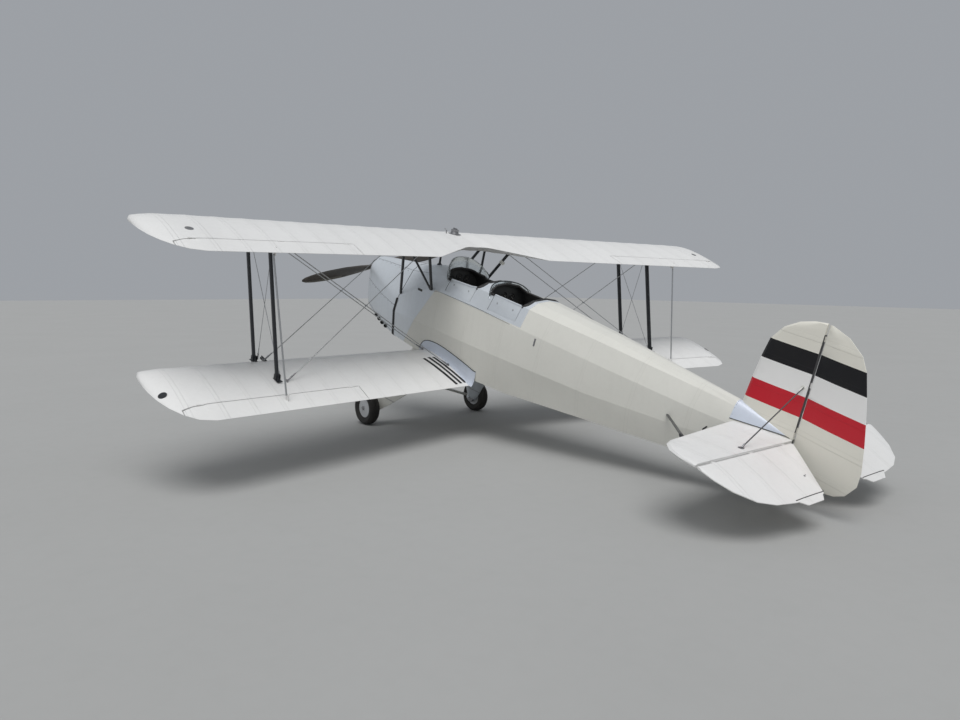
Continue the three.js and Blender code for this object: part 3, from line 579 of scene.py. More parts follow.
@dataclass(frozen=True)
class DopedCloth(Finish):
    """Doped cloth over ribs, with its weave and its rib tapes."""

    rib_direction: Row = (0.0, 1.0, 0.0)
    rib_pitch: float = 0.27
    rib_start: float = 0.0
    tape_width: float = 0.034
    tape_height: float = 6.0

    def height(self, tree: Tree) -> Socket:
        """The weave with the raised tapes over it.

        Args:
            tree: The material's tree.

        Returns:
            The height in front of the bump.
        """
        weave = tree.group("weave", scale=2400.0).outputs["Height"]
        raised = tree.math("MULTIPLY", self.tapes(tree, self.tape_width), self.tape_height)
        return tree.math("ADD", tree.math("MULTIPLY", weave, 0.12), raised)

    def tapes(self, tree: Tree, width: float) -> Socket:
        """A mask of the rib tapes at a width.

        Args:
            tree: The material's tree.
            width: The tapes' width.

        Returns:
            The mask.
        """
        lines = tree.group("tape lines", direction=self.rib_direction, pitch=self.rib_pitch,
                           start=self.rib_start, width=width)
        return lines.outputs["Mask"]

    def base_colour(self, tree: Tree) -> object:
        """The dope, a shade deeper along the tapes' edges.

        Args:
            tree: The material's tree.

        Returns:
            The colour with what is painted over it.
        """
        outer, inner = self.tapes(tree, self.tape_width * 1.25), self.tapes(tree, self.tape_width)
        edge = tree.math("MULTIPLY", tree.math("SUBTRACT", outer, inner, clamp=True), 0.16)
        return self.painted(tree, tree.mix(edge, self.colour, tuple(c * 0.6 for c in self.colour)))

    def painted(self, tree: Tree, cloth: object) -> object:
        """What is painted over the cloth: nothing on plain pieces."""
        return cloth

    def finish_shader(self, shader: bpy.types.Node) -> None:
        """Keeps the dope's mirror of the sky low."""
        super().finish_shader(shader)
        shader.inputs["Specular IOR Level"].default_value = 0.3


@dataclass(frozen=True)
class BandedCloth(DopedCloth):
    """Doped cloth with three level bands of the tail: black, white and red."""

    bands: tuple[tuple[float, float, Colour], ...] = (
        (0.565, 0.725, (0.004, 0.004, 0.006)),
        # Painted light: the white band is lighter than the wings' white, for the brighter lit fin and rudder.
        (0.385, 0.565, (0.86, 0.85, 0.83)),
        (0.225, 0.385, (0.56, 0.012, 0.026)),
    )

    def painted(self, tree: Tree, cloth: object) -> object:
        """The bands over the cream dope, at their heights above the thrust line.

        Args:
            tree: The material's tree.
            cloth: The cloth's own colour.

        Returns:
            The colour with the bands.
        """
        place = tree.place
        height = tree.math("SUBTRACT", tree.dot(place, UPWARD), stance.shift.dot(UPWARD))
        for low, high, paint in self.bands:
            above = tree.math("GREATER_THAN", height, low)
            below = tree.math("LESS_THAN", height, high)
            cloth = tree.mix(tree.math("MULTIPLY", above, below), cloth, paint)
        return cloth


@dataclass(frozen=True)
class LaminatedWood(Finish):
    """Varnished wood glued up from long strips."""

    pale: Colour = (0.085, 0.07, 0.058)

    def base_colour(self, tree: Tree) -> object:
        """Dark and pale strips with fine grain along the blade.

        Args:
            tree: The material's tree.

        Returns:
            The wood's colour.
        """
        place = tree.place
        strips = tree.math("PINGPONG", tree.dot(place, FORWARD), 0.011)
        strips = tree.math("MULTIPLY", strips, 60.0, clamp=True)
        grain = tree.noise(tree.stretched(place, (40.0, 2.0, 40.0)), 4.0, 6.0)
        share = tree.math("MULTIPLY", tree.math("ADD", strips, grain), 0.5, clamp=True)
        return tree.mix(share, self.colour, self.pale)


@dataclass(frozen=True)
class CrackedLeather(Finish):
    """Leather or leathercloth with a pebbled grain."""

    def height(self, tree: Tree) -> Socket:
        """Cells of the grain.

        Args:
            tree: The material's tree.

        Returns:
            The height in front of the bump.
        """
        cells = tree.add("TexVoronoi")
        tree.feed(cells.inputs["Vector"], tree.place)
        cells.inputs["Scale"].default_value = self.grain
        return cells.outputs["Distance"]


@dataclass(frozen=True)
class ClearSheet(Finish):
    """Acrylic sheet, clear with a faint tint."""

    def finish_shader(self, shader: bpy.types.Node) -> None:
        """Lets light through.

        Args:
            shader: The material's shader.
        """
        super().finish_shader(shader)
        shader.inputs["Transmission Weight"].default_value = 0.9
        shader.inputs["IOR"].default_value = 1.3


FUSELAGE_FRAME_PITCH = 0.55
FUSELAGE_FRAME_START = 0.18
TAIL_RIB_PITCH = 0.235
TAIL_RIB_START = 0.12 + stance.shift.dot(UPWARD)


class Paints:
    """Every finish of the aircraft by what it covers."""

    CREAM = DopedCloth(
        "cream doped cloth", (0.7, 0.69, 0.635), 0.42, gloss=Gloss.SATIN, dirt_amount=0.1, tape_height=2.0,
        tape_width=0.03, rib_direction=tuple(FORWARD), rib_pitch=FUSELAGE_FRAME_PITCH,
        rib_start=FUSELAGE_FRAME_START + stance.shift.dot(FORWARD),
    )
    WHITE = DopedCloth("white doped cloth", (0.78, 0.775, 0.76), 0.4, gloss=Gloss.SATIN, dirt_amount=0.1)
    # Painted light: this cream is set lighter than the fuselage's cream, for the brighter lit side of the
    # rudder.
    BANDED = BandedCloth(
        "banded doped cloth", (0.8, 0.775, 0.69), 0.4, gloss=Gloss.SATIN, dirt_amount=0.03,
        rib_direction=tuple(UPWARD), rib_pitch=TAIL_RIB_PITCH, rib_start=TAIL_RIB_START,
    )
    SILVER = Finish("silver painted metal", (0.7, 0.74, 0.78), 0.4, 0.4, Gloss.SATIN, dirt_amount=0.16)
    PALE_BLUE = Finish("pale blue painted metal", (0.62, 0.67, 0.76), 0.4, 0.1, Gloss.SATIN)
    BLACK = Finish("black enamel", (0.01, 0.012, 0.015), 0.35, gloss=Gloss.SATIN, dirt=(0.1, 0.1, 0.1),
                   dirt_amount=0.04)
    MATT_BLACK = Finish("matt black", (0.01, 0.01, 0.011), 0.7, dirt=(0.1, 0.1, 0.1), dirt_amount=0.05)
    RUBBER = Finish("tyre rubber", (0.02, 0.02, 0.02), 0.78, dirt=(0.15, 0.13, 0.1), dirt_amount=0.3,
                    dirt_scale=6.0, relief=0.0008)
    WIRE = Finish("bright wire", (0.42, 0.43, 0.44), 0.3, 0.9, relief=0.0001)
    CABLE = Finish("dark cable", (0.07, 0.07, 0.075), 0.5, 0.3, relief=0.0001)
    STEEL = Finish("dull steel", (0.3, 0.3, 0.31), 0.4, 0.85)
    TARNISHED = Finish("tarnished sheath", (0.2, 0.19, 0.17), 0.35, 0.8)
    WHEEL_SILVER = Finish("silver wheel disc", (0.62, 0.63, 0.64), 0.42, 0.35, dirt_amount=0.25,
                          dirt_scale=5.0)
    WOOD = LaminatedWood("laminated wood", (0.04, 0.036, 0.033), 0.35, gloss=Gloss.VARNISHED,
                         dirt_amount=0.1)
    LEATHER = CrackedLeather("black leather", (0.014, 0.013, 0.013), 0.5, dirt=(0.1, 0.085, 0.07),
                             grain=420.0, relief=0.0008)
    BROWN_LEATHER = CrackedLeather("brown leather", (0.09, 0.045, 0.022), 0.48, grain=380.0, relief=0.0008)
    GLASS = ClearSheet("clear acrylic", (0.86, 0.9, 0.9), 0.06, dirt_amount=0.06)
    WEBBING = DopedCloth("webbing", (0.3, 0.29, 0.22), 0.8, dirt_amount=0.2, tape_height=0.0, relief=0.0006)
    INSIDE = Finish("dark cockpit paint", (0.025, 0.027, 0.028), 0.6, dirt_amount=0.2)
    DIAL = Finish("dial face", (0.01, 0.01, 0.011), 0.5)
    MARK = Finish("pale marking", (0.75, 0.75, 0.7), 0.5)


# The bench


def in_scene(name: str, data: bpy.types.ID) -> Piece:
    """A new object of the scene around some data.

    Args:
        name: The object's name.
        data: Its mesh, curve, light or camera.

    Returns:
        The object.
    """
    piece = bpy.data.objects.new(name, data)
    bpy.context.scene.collection.objects.link(piece)
    return piece


class Bench:
    """The modelling bench. Each method is a few operators, used as by hand."""

    same_point = 1e-6
    near_point = 1e-5
    packed_point = 2e-5
    flat_within = radians(1.2)

    @staticmethod
    def pick(*pieces: Piece) -> None:
        """Selects these pieces alone and makes the last one active.

        Args:
            *pieces: The pieces to select.
        """
        bpy.ops.object.select_all(action="DESELECT")
        for piece in pieces:
            piece.select_set(True)
        bpy.context.view_layer.objects.active = pieces[-1]

    @classmethod
    def open(cls, piece: Piece) -> None:
        """Opens a piece for editing with all of it selected.

        Args:
            piece: The piece to edit.
        """
        cls.pick(piece)
        bpy.ops.object.mode_set(mode="EDIT")
        bpy.ops.mesh.select_mode(type="VERT")
        bpy.ops.mesh.select_all(action="SELECT")

    @staticmethod
    def close() -> None:
        """Ends the editing of the open piece."""
        bpy.ops.object.mode_set(mode="OBJECT")

    @classmethod
    def fresh(cls, name: str, maker: Callable, **settings: object) -> Piece:
        """Makes one primitive by its operator, with nothing else selected, and names it.

        Args:
            name: The piece's name.
            maker: The operator that adds the primitive.
            **settings: The operator's settings.

        Returns:
            The new piece.
        """
        bpy.ops.object.select_all(action="DESELECT")
        maker(**settings)
        piece = bpy.context.active_object
        piece.name = piece.data.name = name
        return piece

    @classmethod
    def shut(cls, piece: Piece) -> Piece:
        """Turns the selected faces of the open piece outwards and ends its editing.

        Args:
            piece: The piece that is open.

        Returns:
            The same piece.
        """
        bpy.ops.mesh.normals_make_consistent(inside=False)
        cls.close()
        return piece

    @staticmethod
    def lay(piece: Piece, rows: list[list[Vector]]) -> None:
        """Puts a mesh's points where the rows say."""
        for vertex, place in zip(piece.data.vertices, (p for row in rows for p in row)):
            vertex.co = place

    @classmethod
    def settle(cls, piece: Piece) -> Piece:
        """Moves a piece's place into its mesh, so that its object stands at the origin.

        Args:
            piece: The piece to settle.

        Returns:
            The same piece.
        """
        cls.pick(piece)
        bpy.ops.object.transform_apply(location=True, rotation=True, scale=True)
        return piece

    @classmethod
    def copied(cls, node: str, name: str) -> Piece:
        """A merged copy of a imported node, ready to be worked on.

        Args:
            node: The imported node.
            name: The copy's name.

        Returns:
            The copy.
        """
        piece = in_scene(name, frame["nodes"][node].data.copy())
        piece.data.materials.clear()
        cls.pick(piece)
        bpy.ops.mesh.customdata_custom_splitnormals_clear()
        cls.open(piece)
        bpy.ops.mesh.remove_doubles(threshold=cls.packed_point)
        cls.close()
        return piece

    @classmethod
    def tidied(cls, node: str, name: str) -> Piece:
        """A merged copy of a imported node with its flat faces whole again.

        Args:
            node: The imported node.
            name: The copy's name.

        Returns:
            The copy.
        """
        piece = cls.copied(node, name)
        cls.open(piece)
        bpy.ops.mesh.dissolve_limited(angle_limit=cls.flat_within)
        cls.close()
        return piece

    @classmethod
    def carve(cls, piece: Piece, cutter: Piece) -> None:
        """Cuts a shape out of a piece."""
        cls.modify(piece, "BOOLEAN", operation="DIFFERENCE", object=cutter, solver="EXACT")
        bpy.data.objects.remove(cutter)

    @classmethod
    def cut(cls, piece: Piece, planes: list[Place]) -> None:
        """Bisects a piece by each plane, given as a point and a normal.

        Args:
            piece: The piece to cut.
            planes: A point and a normal of each plane.
        """
        cls.open(piece)
        for point, normal in planes:
            bpy.ops.mesh.select_all(action="SELECT")
            bpy.ops.mesh.bisect(plane_co=point, plane_no=normal, threshold=cls.near_point)
        cls.close()

    @classmethod
    def modify(cls, piece: Piece, kind: str, **settings: object) -> Piece:
        """Adds a modifier with its settings and applies it.

        Args:
            piece: The piece to change.
            kind: The modifier's type.
            **settings: The modifier's settings.

        Returns:
            The same piece.
        """
        modifier = piece.modifiers.new(kind.lower(), kind)
        for key, value in settings.items():
            setattr(modifier, key, value)
        cls.pick(piece)
        bpy.ops.object.modifier_apply(modifier=modifier.name)
        return piece

    @classmethod
    def soften(cls, piece: Piece, width: float, angle: float = 30.0, steps: int = 2) -> Piece:
        """Rounds the edges that are sharper than an angle in degrees."""
        return cls.modify(piece, "BEVEL", width=width, segments=steps, limit_method="ANGLE",
                          angle_limit=radians(angle), harden_normals=False)

    @classmethod
    def loft(cls, name: str, rings: list[list[Vector]]) -> Piece:
        """Bridges a row of rings of equal point count, and fills the two ends.

        Args:
            name: The piece's name.
            rings: Points of each ring in order.

        Returns:
            The closed piece.
        """
        count = len(rings[0])
        piece = cls.fresh(name, bpy.ops.mesh.primitive_circle_add, vertices=count, radius=1)
        bpy.ops.object.mode_set(mode="EDIT")
        for k in range(1, len(rings)):
            bpy.ops.mesh.primitive_circle_add(vertices=count, radius=1, location=(0, 0, k * 5))
        cls.close()
        cls.lay(cls.settle(piece), rings)
        cls.open(piece)
        for k in range(len(rings) - 1):
            cls.choose(piece, range(k * count, (k + 2) * count))
            bpy.ops.mesh.bridge_edge_loops()
        bpy.ops.mesh.select_all(action="SELECT")
        bpy.ops.mesh.fill_holes(sides=0)
        return cls.shut(piece)

    @staticmethod
    def choose(piece: Piece, wanted: Iterable[int]) -> None:
        """Selects the vertices with these numbers, and no others, while a piece is open.

        Args:
            piece: The piece that is open.
            wanted: Numbers of the vertices.
        """
        bpy.ops.mesh.select_all(action="DESELECT")
        bpy.ops.object.mode_set(mode="OBJECT")
        for number in wanted:
            piece.data.vertices[number].select = True
        bpy.ops.object.mode_set(mode="EDIT")
        bpy.ops.mesh.select_mode(type="VERT")

    @classmethod
    def strip(cls, name: str, rows: list[list[Vector]], thick: float) -> Piece:
        """A sheet with a wall through rows of points.

        Args:
            name: The piece's name.
            rows: Points of each row.
            thick: Thickness of the wall.

        Returns:
            The closed piece.
        """
        piece = cls.fresh(name, bpy.ops.mesh.primitive_grid_add, x_subdivisions=len(rows[0]) - 1,
                          y_subdivisions=len(rows) - 1, size=1)
        cls.lay(piece, rows)
        cls.open(cls.modify(piece, "SOLIDIFY", thickness=thick, offset=1.0))
        return cls.shut(piece)

    @classmethod
    def tube(cls, name: str, points: list[Vector], radius: float, closed: bool = False,
             sides: int = 3) -> Piece:
        """A round bar that follows a row of points.

        Args:
            name: The piece's name.
            points: Places along the bar.
            radius: The bar's radius.
            closed: True for a ring.
            sides: How finely it is rounded.

        Returns:
            The bar.
        """
        curve = bpy.data.curves.new(name, "CURVE")
        curve.dimensions = "3D"
        curve.bevel_depth = radius
        curve.bevel_resolution = sides
        curve.use_fill_caps = not closed
        spline = curve.splines.new("POLY")
        spline.points.add(len(points) - 1)
        for knot, place in zip(spline.points, points):
            knot.co = (*place, 1.0)
        spline.use_cyclic_u = closed
        cls.pick(in_scene(name, curve))
        bpy.ops.object.convert(target="MESH")
        cls.open(bpy.context.active_object)
        bpy.ops.mesh.remove_doubles(threshold=cls.same_point)
        return cls.shut(bpy.context.active_object)

    @classmethod
    def rod(cls, name: str, start: Vector, end: Vector, radius: float, sides: int = 12,
            round_over: float = 0.0) -> Piece:
        """A straight round bar with softened ends.

        Args:
            name: The piece's name.
            start: One end.
            end: The other end.
            radius: The bar's radius.
            sides: Faces round the bar.
            round_over: Rounding of the ends, a fifth of the radius unless given.

        Returns:
            The bar.
        """
        along = end - start
        piece = cls.fresh(
            name, bpy.ops.mesh.primitive_cylinder_add, vertices=sides, radius=radius, depth=along.length,
            location=(start + end) / 2, rotation=along.to_track_quat("Z", "Y").to_euler(),
        )
        return cls.soften(cls.settle(piece), round_over or radius * 0.2, 50)

    @classmethod
    def spun(cls, name: str, profile: list[Row], centre: Vector, axis: Vector, steps: int = 32) -> Piece:
        """Spins a closed profile round an axis.

        Args:
            name: The piece's name.
            profile: Radius and place along the axis of each corner.
            centre: Where the axis starts.
            axis: The axis, at length one.
            steps: Faces round the piece.

        Returns:
            The new piece.
        """
        side = axis.orthogonal().normalized()
        piece = cls.fresh(name, bpy.ops.mesh.primitive_circle_add, vertices=len(profile), radius=1)
        cls.lay(piece, [[centre + side * radius + axis * along for radius, along in profile]])
        cls.open(piece)
        bpy.ops.mesh.spin(steps=steps, angle=2 * pi, center=centre, axis=axis)
        bpy.ops.mesh.select_all(action="SELECT")
        bpy.ops.mesh.remove_doubles(threshold=cls.near_point)
        bpy.ops.mesh.dissolve_degenerate(threshold=cls.same_point)
        bpy.ops.mesh.select_all(action="SELECT")
        return cls.shut(piece)

    @classmethod
    def block(cls, name: str, centre: Vector, size: Row, round_over: float) -> Piece:
        """A block with rounded edges, turned with the airframe.

        Args:
            name: The piece's name.
            centre: The block's middle.
            size: Its length, width and height.
            round_over: Rounding of its edges.

        Returns:
            The block.
        """
        piece = cls.fresh(name, bpy.ops.mesh.primitive_cube_add, size=1, location=centre,
                          rotation=stance.turn.to_euler(), scale=size)
        return cls.soften(cls.settle(piece), round_over)

    @classmethod
    def joined(cls, name: str, pieces: list[Piece]) -> Piece:
        """Joins several pieces into one.

        Args:
            name: The name of the whole.
            pieces: The pieces to join.

        Returns:
            The joined piece.
        """
        cls.pick(*pieces)
        if len(pieces) > 1:
            bpy.ops.object.join()
        piece = bpy.context.active_object
        piece.name = piece.data.name = name
        return piece

    @classmethod
    def scattered(cls, name: str, piece: Piece, places: list[Place]) -> Piece:
        """Copies a piece that stands on the origin along Z to many places and normals, as one object.

        Args:
            name: The name of the whole.
            piece: The piece to copy.
            places: Where each copy stands, and its normal.

        Returns:
            The copies as one piece.
        """
        copies = []
        for place, normal in places:
            twin = in_scene(name, piece.data.copy())
            turn = normal.to_track_quat("Z", "Y").to_matrix().to_4x4()
            twin.data.transform(Matrix.Translation(place) @ turn)
            copies.append(twin)
        bpy.data.objects.remove(piece)
        return cls.joined(name, copies)

    @classmethod
    def softened(cls, node: str, name: str, width: float, limit: float, *dressing: object,
                 **named: object) -> Piece:
        """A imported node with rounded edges, dressed as done does and shown in the node's place."""
        piece = cls.soften(cls.tidied(node, name), width, limit)
        return cls.done(piece, *dressing, stands_for=(node,), **named)

    @classmethod
    def gather(cls, name: str, pieces: list[Piece], *dressing: object, **named: object) -> Piece:
        """Joins pieces into one and dresses it as done does."""
        return cls.done(cls.joined(name, pieces), *dressing, **named)

    @classmethod
    def done(cls, piece: Piece, finish: Finish, body: str = "airframe", angle: float = 40.0,
             stands_for: tuple[str, ...] = (), slot: str = "") -> Piece:
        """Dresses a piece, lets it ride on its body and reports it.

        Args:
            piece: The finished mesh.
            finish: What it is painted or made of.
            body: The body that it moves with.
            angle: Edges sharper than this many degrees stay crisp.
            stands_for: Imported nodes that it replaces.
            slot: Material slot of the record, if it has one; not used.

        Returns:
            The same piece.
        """
        piece.data.materials.clear()
        piece.data.materials.append(finish.build())
        cls.pick(piece)
        bpy.ops.object.shade_smooth_by_angle(angle=radians(angle))
        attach(piece, body)
        if stands_for:
            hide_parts(*stands_for)
        log.info("%s: %d faces on %s", piece.name, len(piece.data.polygons), body)
        return piece


class Skin:
    """The outside of some pieces, to seat other pieces on."""

    def __init__(self, *names: str) -> None:
        """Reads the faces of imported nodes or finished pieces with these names.

        Args:
            *names: Names of the nodes or pieces.
        """
        points: list[Vector] = []
        faces: list[tuple[int, ...]] = []
        for name in names:
            mesh = (frame["nodes"].get(name) or bpy.data.objects[name]).data
            start = len(points)
            points += [v.co.copy() for v in mesh.vertices]
            faces += [tuple(start + i for i in p.vertices) for p in mesh.polygons]
        self.tree = BVHTree.FromPolygons(points, faces)

    def hit(self, start: Vector, direction: Vector) -> Place:
        """The first point of the skin from a start along a direction, with its normal.

        Args:
            start: Where the ray starts.
            direction: Where it goes.

        Returns:
            The point and its normal, or the nearest point where the ray misses.
        """
        place, normal, _, _ = self.tree.ray_cast(start, direction)
        if place is None:
            place, normal, _, _ = self.tree.find_nearest(start)
        return place, normal

    def under(self, place: Vector) -> Place:
        """The first point of the skin below a place, with its normal."""
        return self.hit(place, -UPWARD)

    def by_hull(self, x: float, share: float, side: Side) -> Place:
        """The skin where a line into a point of the hull meets it."""
        start = hull.point(x, share, side, 0.1)
        return self.hit(start, hull.point(x, share, side, -0.05) - start)


# Cloth-covered surfaces


@dataclass
class ClothSurface:
    """One covered surface: the cloth sags a little between its ribs."""

    node: str
    body: str = "airframe"
    finish: Finish = Paints.WHITE
    rib_axis: Vector = field(default_factory=lambda: SPANWISE)
    face_axis: Vector = field(default_factory=lambda: UPWARD)
    pitch: float = 0.27
    start: float = 0.0
    sag: float = 0.0035
    edge: float = 0.05
    taut: float = 0.012
    slot: str = "white"
    angle: float = 32.0

    def build(self) -> None:
        """Cuts the surface at its ribs, lets the cloth sag and dresses it."""
        piece = Bench.copied(self.node, self.node + "_cloth")
        runs = [v.co.dot(self.rib_axis) - self.start for v in piece.data.vertices]
        first = floor(min(runs) / self.pitch)
        last = ceil(max(runs) / self.pitch)
        shares = (0.0, 0.2, 0.5, 0.8)
        rim = 0.004
        stops = [(k + s) * self.pitch for k in range(first, last + 1) for s in shares]
        inside = [s for s in stops if min(runs) + rim < s < max(runs) - rim]
        Bench.cut(piece, [(self.rib_axis * (s + self.start), self.rib_axis) for s in inside])
        self.settle_cloth(piece)
        Bench.done(piece, self.finish, self.body, self.angle, (self.node,), self.slot)

    def settle_cloth(self, piece: Piece) -> None:
        """Lowers each point between two ribs, less where the surface is thin.

        Args:
            piece: The cut surface.
        """
        mesh = piece.data
        points = [v.co.copy() for v in mesh.vertices]
        tree = BVHTree.FromPolygons(points, [tuple(p.vertices) for p in mesh.polygons])
        moves = []
        for vertex in mesh.vertices:
            normal = vertex.normal.normalized()
            flat = normal.dot(self.face_axis) ** 2
            _, _, _, depth = tree.ray_cast(vertex.co - normal * 1e-4, -normal)
            body = min(1.0, max(0.0, ((depth or 0.0) - self.taut) / self.edge))
            bay = ((vertex.co.dot(self.rib_axis) - self.start) / self.pitch) % 1.0
            moves.append(-normal * self.sag * sin(pi * bay) * flat * body)
        for vertex, move in zip(mesh.vertices, moves):
            vertex.co += move


class Covering:
    """Every cloth-covered surface of the wings and tail."""

    def build(self) -> None:
        """Builds wings, ailerons and tail surfaces from one table."""
        for level in ("upper", "lower"):
            for side in Side:
                ClothSurface(f"{level}_wing_{side.label}").build()
                aileron = f"{level}_aileron_{side.label}"
                ClothSurface(aileron, aileron, edge=0.03).build()
        ClothSurface("upper_wing_centre").build()
        for side in Side:
            ClothSurface(f"stabilizer_{side.label}", sag=0.002, edge=0.02).build()
            ClothSurface(f"elevator_{side.label}", "elevators", sag=0.0015, edge=0.02).build()
        for node, body in (("fin", "airframe"), ("rudder", "rudder")):
            ClothSurface(node, body, Paints.BANDED, UPWARD, SPANWISE, TAIL_RIB_PITCH, TAIL_RIB_START,
                         sag=0.0018, edge=0.02, slot="fabric").build()


# Nose, fuselage and cockpits


RIVET = 0.0035


def seam(name: str, places: list[Vector], radius: float = 0.0016) -> None:
    """A thin dark line along a panel joint."""
    Bench.done(Bench.tube(name, places, radius, sides=1), Paints.INSIDE)


def rivets(name: str, places: list[Place], radius: float, finish: Finish,
           body: str = "airframe") -> None:
    """Domed heads scattered over places and normals.

    Args:
        name: The piece's name.
        places: Where each head sits, and its normal.
        radius: A head's radius.
        finish: What they are made of.
        body: The body that they move with.
    """
    r = radius
    dome = [(0.0, -0.3 * r), (r, -0.3 * r), (r * 0.85, 0.35 * r), (0.0, 0.6 * r)]
    head = Bench.spun(name, dome, Vector((0, 0, 0)), LEVEL, 7)
    Bench.done(Bench.scattered(name, head, places), finish, body, 60)


def hull_band(name: str, x: float, width: float, first: float, lift: float, wall: float) -> Piece:
    """A band round the fuselage, from a share on one side under the keel to the other side.

    Args:
        name: The band's name.
        x: Its middle along the fuselage.
        width: Its width.
        first: Share where it starts on each side.
        lift: Its height over the skin.
        wall: Its thickness.

    Returns:
        The band.
    """
    shares = [first, *range(floor(first) + 1, 7)]
    shares = sorted({s for k in shares for s in (k, min(6, k + 0.07), max(first, k - 0.07))})
    path = [(s, Side.PORT) for s in shares] + [(s, Side.STARBOARD) for s in reversed(shares)]
    rows = [[hull.point(x + step, s, side, lift) for s, side in path] for step in (width / 2, -width / 2)]
    return Bench.strip(name, rows, wall)


@dataclass
class Nose:
    """The engine cowling, its outlets and the firewall band."""

    wall: float = 0.006
    inset: float = 0.012
    rear_roundness: float = 0.15
    rounding_run: float = 0.5
    shaft_radius: float = 0.06
    thrust_height: float = -0.06
    intake: Row = (-0.19, 0.095, -0.215)
    intake_size: Row = (0.12, 0.07, 0.15)
    outlet: Row = (-0.83, 0.0, -0.68)
    outlet_size: Row = (0.14, 0.3, 0.16)
    seam_shares: Row = (2.0, 3.6, 4.9)
    lip: tuple[tuple[float, float], ...] = ((-0.1905, 0.84), (-0.192, 0.91), (-0.198, 0.96), (-0.212, 0.99))
    stations: tuple[float, ...] = (
        -0.23, -0.26, -0.3, -0.36, -0.42, -0.48, -0.54, -0.6, -0.68, -0.76, -0.84, -0.92, -1.0, -1.08, -1.14,
        -1.184,
    )

    def build(self) -> None:
        """Builds the cowling and what stands on it."""
        self.cowling()
        self.seams(Skin("engine_cowl"))
        self.exhausts()
        self.bands()
        self.engine()

    @staticmethod
    def ring(x: float, roundness: float, squeeze: float) -> list[Vector]:
        """One section with its corners rounded by a smooth curve through them.

        Args:
            x: Place along the fuselage.
            roundness: 0 for straight sides, 1 for the full curve.
            squeeze: Size against the plain section.

        Returns:
            The section's points.
        """
        row = hull.section(x)
        half = [Vector(corner) for corner in hull.half(row)]
        whole = half + [Vector((-c.x, c.y)) for c in reversed(half[1:])]
        middle = Vector((0, (row[1] + row[-1]) / 2))
        places = []
        for k, corner in enumerate(whole):
            before, after, beyond = whole[k - 1], whole[(k + 1) % len(whole)], whole[(k + 2) % len(whole)]
            for t in (0.0, 0.2, 0.4, 0.6, 0.8):
                straight = corner.lerp(after, t)
                curve = 0.5 * (2 * corner + (after - before) * t
                               + (2 * before - 5 * corner + 4 * after - beyond) * t**2
                               + (3 * corner - before - 3 * after + beyond) * t**3)
                place = straight.lerp(curve, roundness)
                place = middle + (place - middle) * squeeze
                places.append(stance.at(x, place.x, place.y))
        return places

    def cowling(self) -> None:
        """A smooth shell with the shaft hole, the air intake and the lower outlet cut out."""
        rings = [self.ring(x, 1.0, squeeze) for x, squeeze in self.lip]
        for x in self.stations:
            ahead = (x - self.stations[-1]) / self.rounding_run
            roundness = min(1.0, max(self.rear_roundness, ahead + self.rear_roundness))
            rings.append(self.ring(x, roundness, 1.0 - self.inset * roundness))
        piece = Bench.loft("engine_cowl", rings)
        limit = stance.at(-1, 0, 0).dot(FORWARD)
        rear = [face for face in piece.data.polygons if face.center.dot(FORWARD) < limit]
        back = max(rear, key=lambda face: len(face.vertices))
        Bench.open(piece)
        Bench.choose(piece, back.vertices)
        bpy.ops.mesh.delete(type="ONLY_FACE")
        Bench.close()
        Bench.modify(piece, "SOLIDIFY", thickness=self.wall, offset=-1)
        for cutter in self.cutters():
            Bench.carve(piece, cutter)
        Bench.done(piece, Paints.SILVER, angle=35, stands_for=("cowling",), slot="silver")

    def cutters(self) -> list[Piece]:
        """The shapes of the three openings.

        Returns:
            The three cutters.
        """
        at = stance.at
        start, end = at(-0.3, 0, self.thrust_height), at(-0.1, 0, self.thrust_height)
        return [
            Bench.rod("shaft cutter", start, end, self.shaft_radius, 32),
            Bench.block("intake cutter", at(*self.intake), self.intake_size, 0.02),
            Bench.block("outlet cutter", at(*self.outlet), self.outlet_size, 0.02),
        ]

    def seams(self, skin: Skin) -> None:
        """Panel joints along the shoulders and sides, with their fasteners.

        Args:
            skin: The finished cowling.
        """
        stations = [-0.26 - k * 0.0375 for k in range(25)]
        beside = 0.07
        places = []
        for share in self.seam_shares:
            for side in Side:
                run = [skin.by_hull(x, share, side)[0] for x in stations]
                places += [skin.by_hull(x, share + beside, side) for x in stations[1::3]]
                seam(f"cowl_seam_{side.label}_{int(share * 10)}", run)
        rivets("cowl_fasteners", places, 0.006, Paints.STEEL)

    def exhausts(self) -> None:
        """Four short exhaust stubs out of the cowl's lower port edge."""
        stub = [(0.024, 0.0), (0.024, 0.088), (0.021, 0.092), (0.0185, 0.084), (0.0185, 0.0)]
        pipes = []
        for k in range(4):
            x = -0.6 - 0.115 * k
            start = hull.point(x, 4.9, Side.PORT, -0.06)
            end = hull.point(x - 0.035, 4.93, Side.PORT, 0.03)
            pipes.append(Bench.spun("exhaust", stub, start, (end - start).normalized(), 20))
        Bench.gather("exhaust_stubs", pipes, Paints.INSIDE)

    @staticmethod
    def bands() -> None:
        """The black hoop round the firewall, broad under the crease, and a thin flange above it."""
        firewall = hull.body[0][0]
        low = hull_band("firewall_band", firewall, 0.046, 3.02, 0.002, 0.003)
        Bench.done(low, Paints.MATT_BLACK, slot="black")
        high = hull_band("firewall_flange", firewall, 0.008, 0.0, 0.0, 0.002)
        Bench.done(high, Paints.INSIDE)

    @staticmethod
    def engine() -> None:
        """The plain engine block behind the openings, softened and dark."""
        block = Bench.soften(Bench.copied("engine_block", "engine_case"), 0.012, 40)
        Bench.done(block, Paints.STEEL, stands_for=("engine_block",), slot="steel")


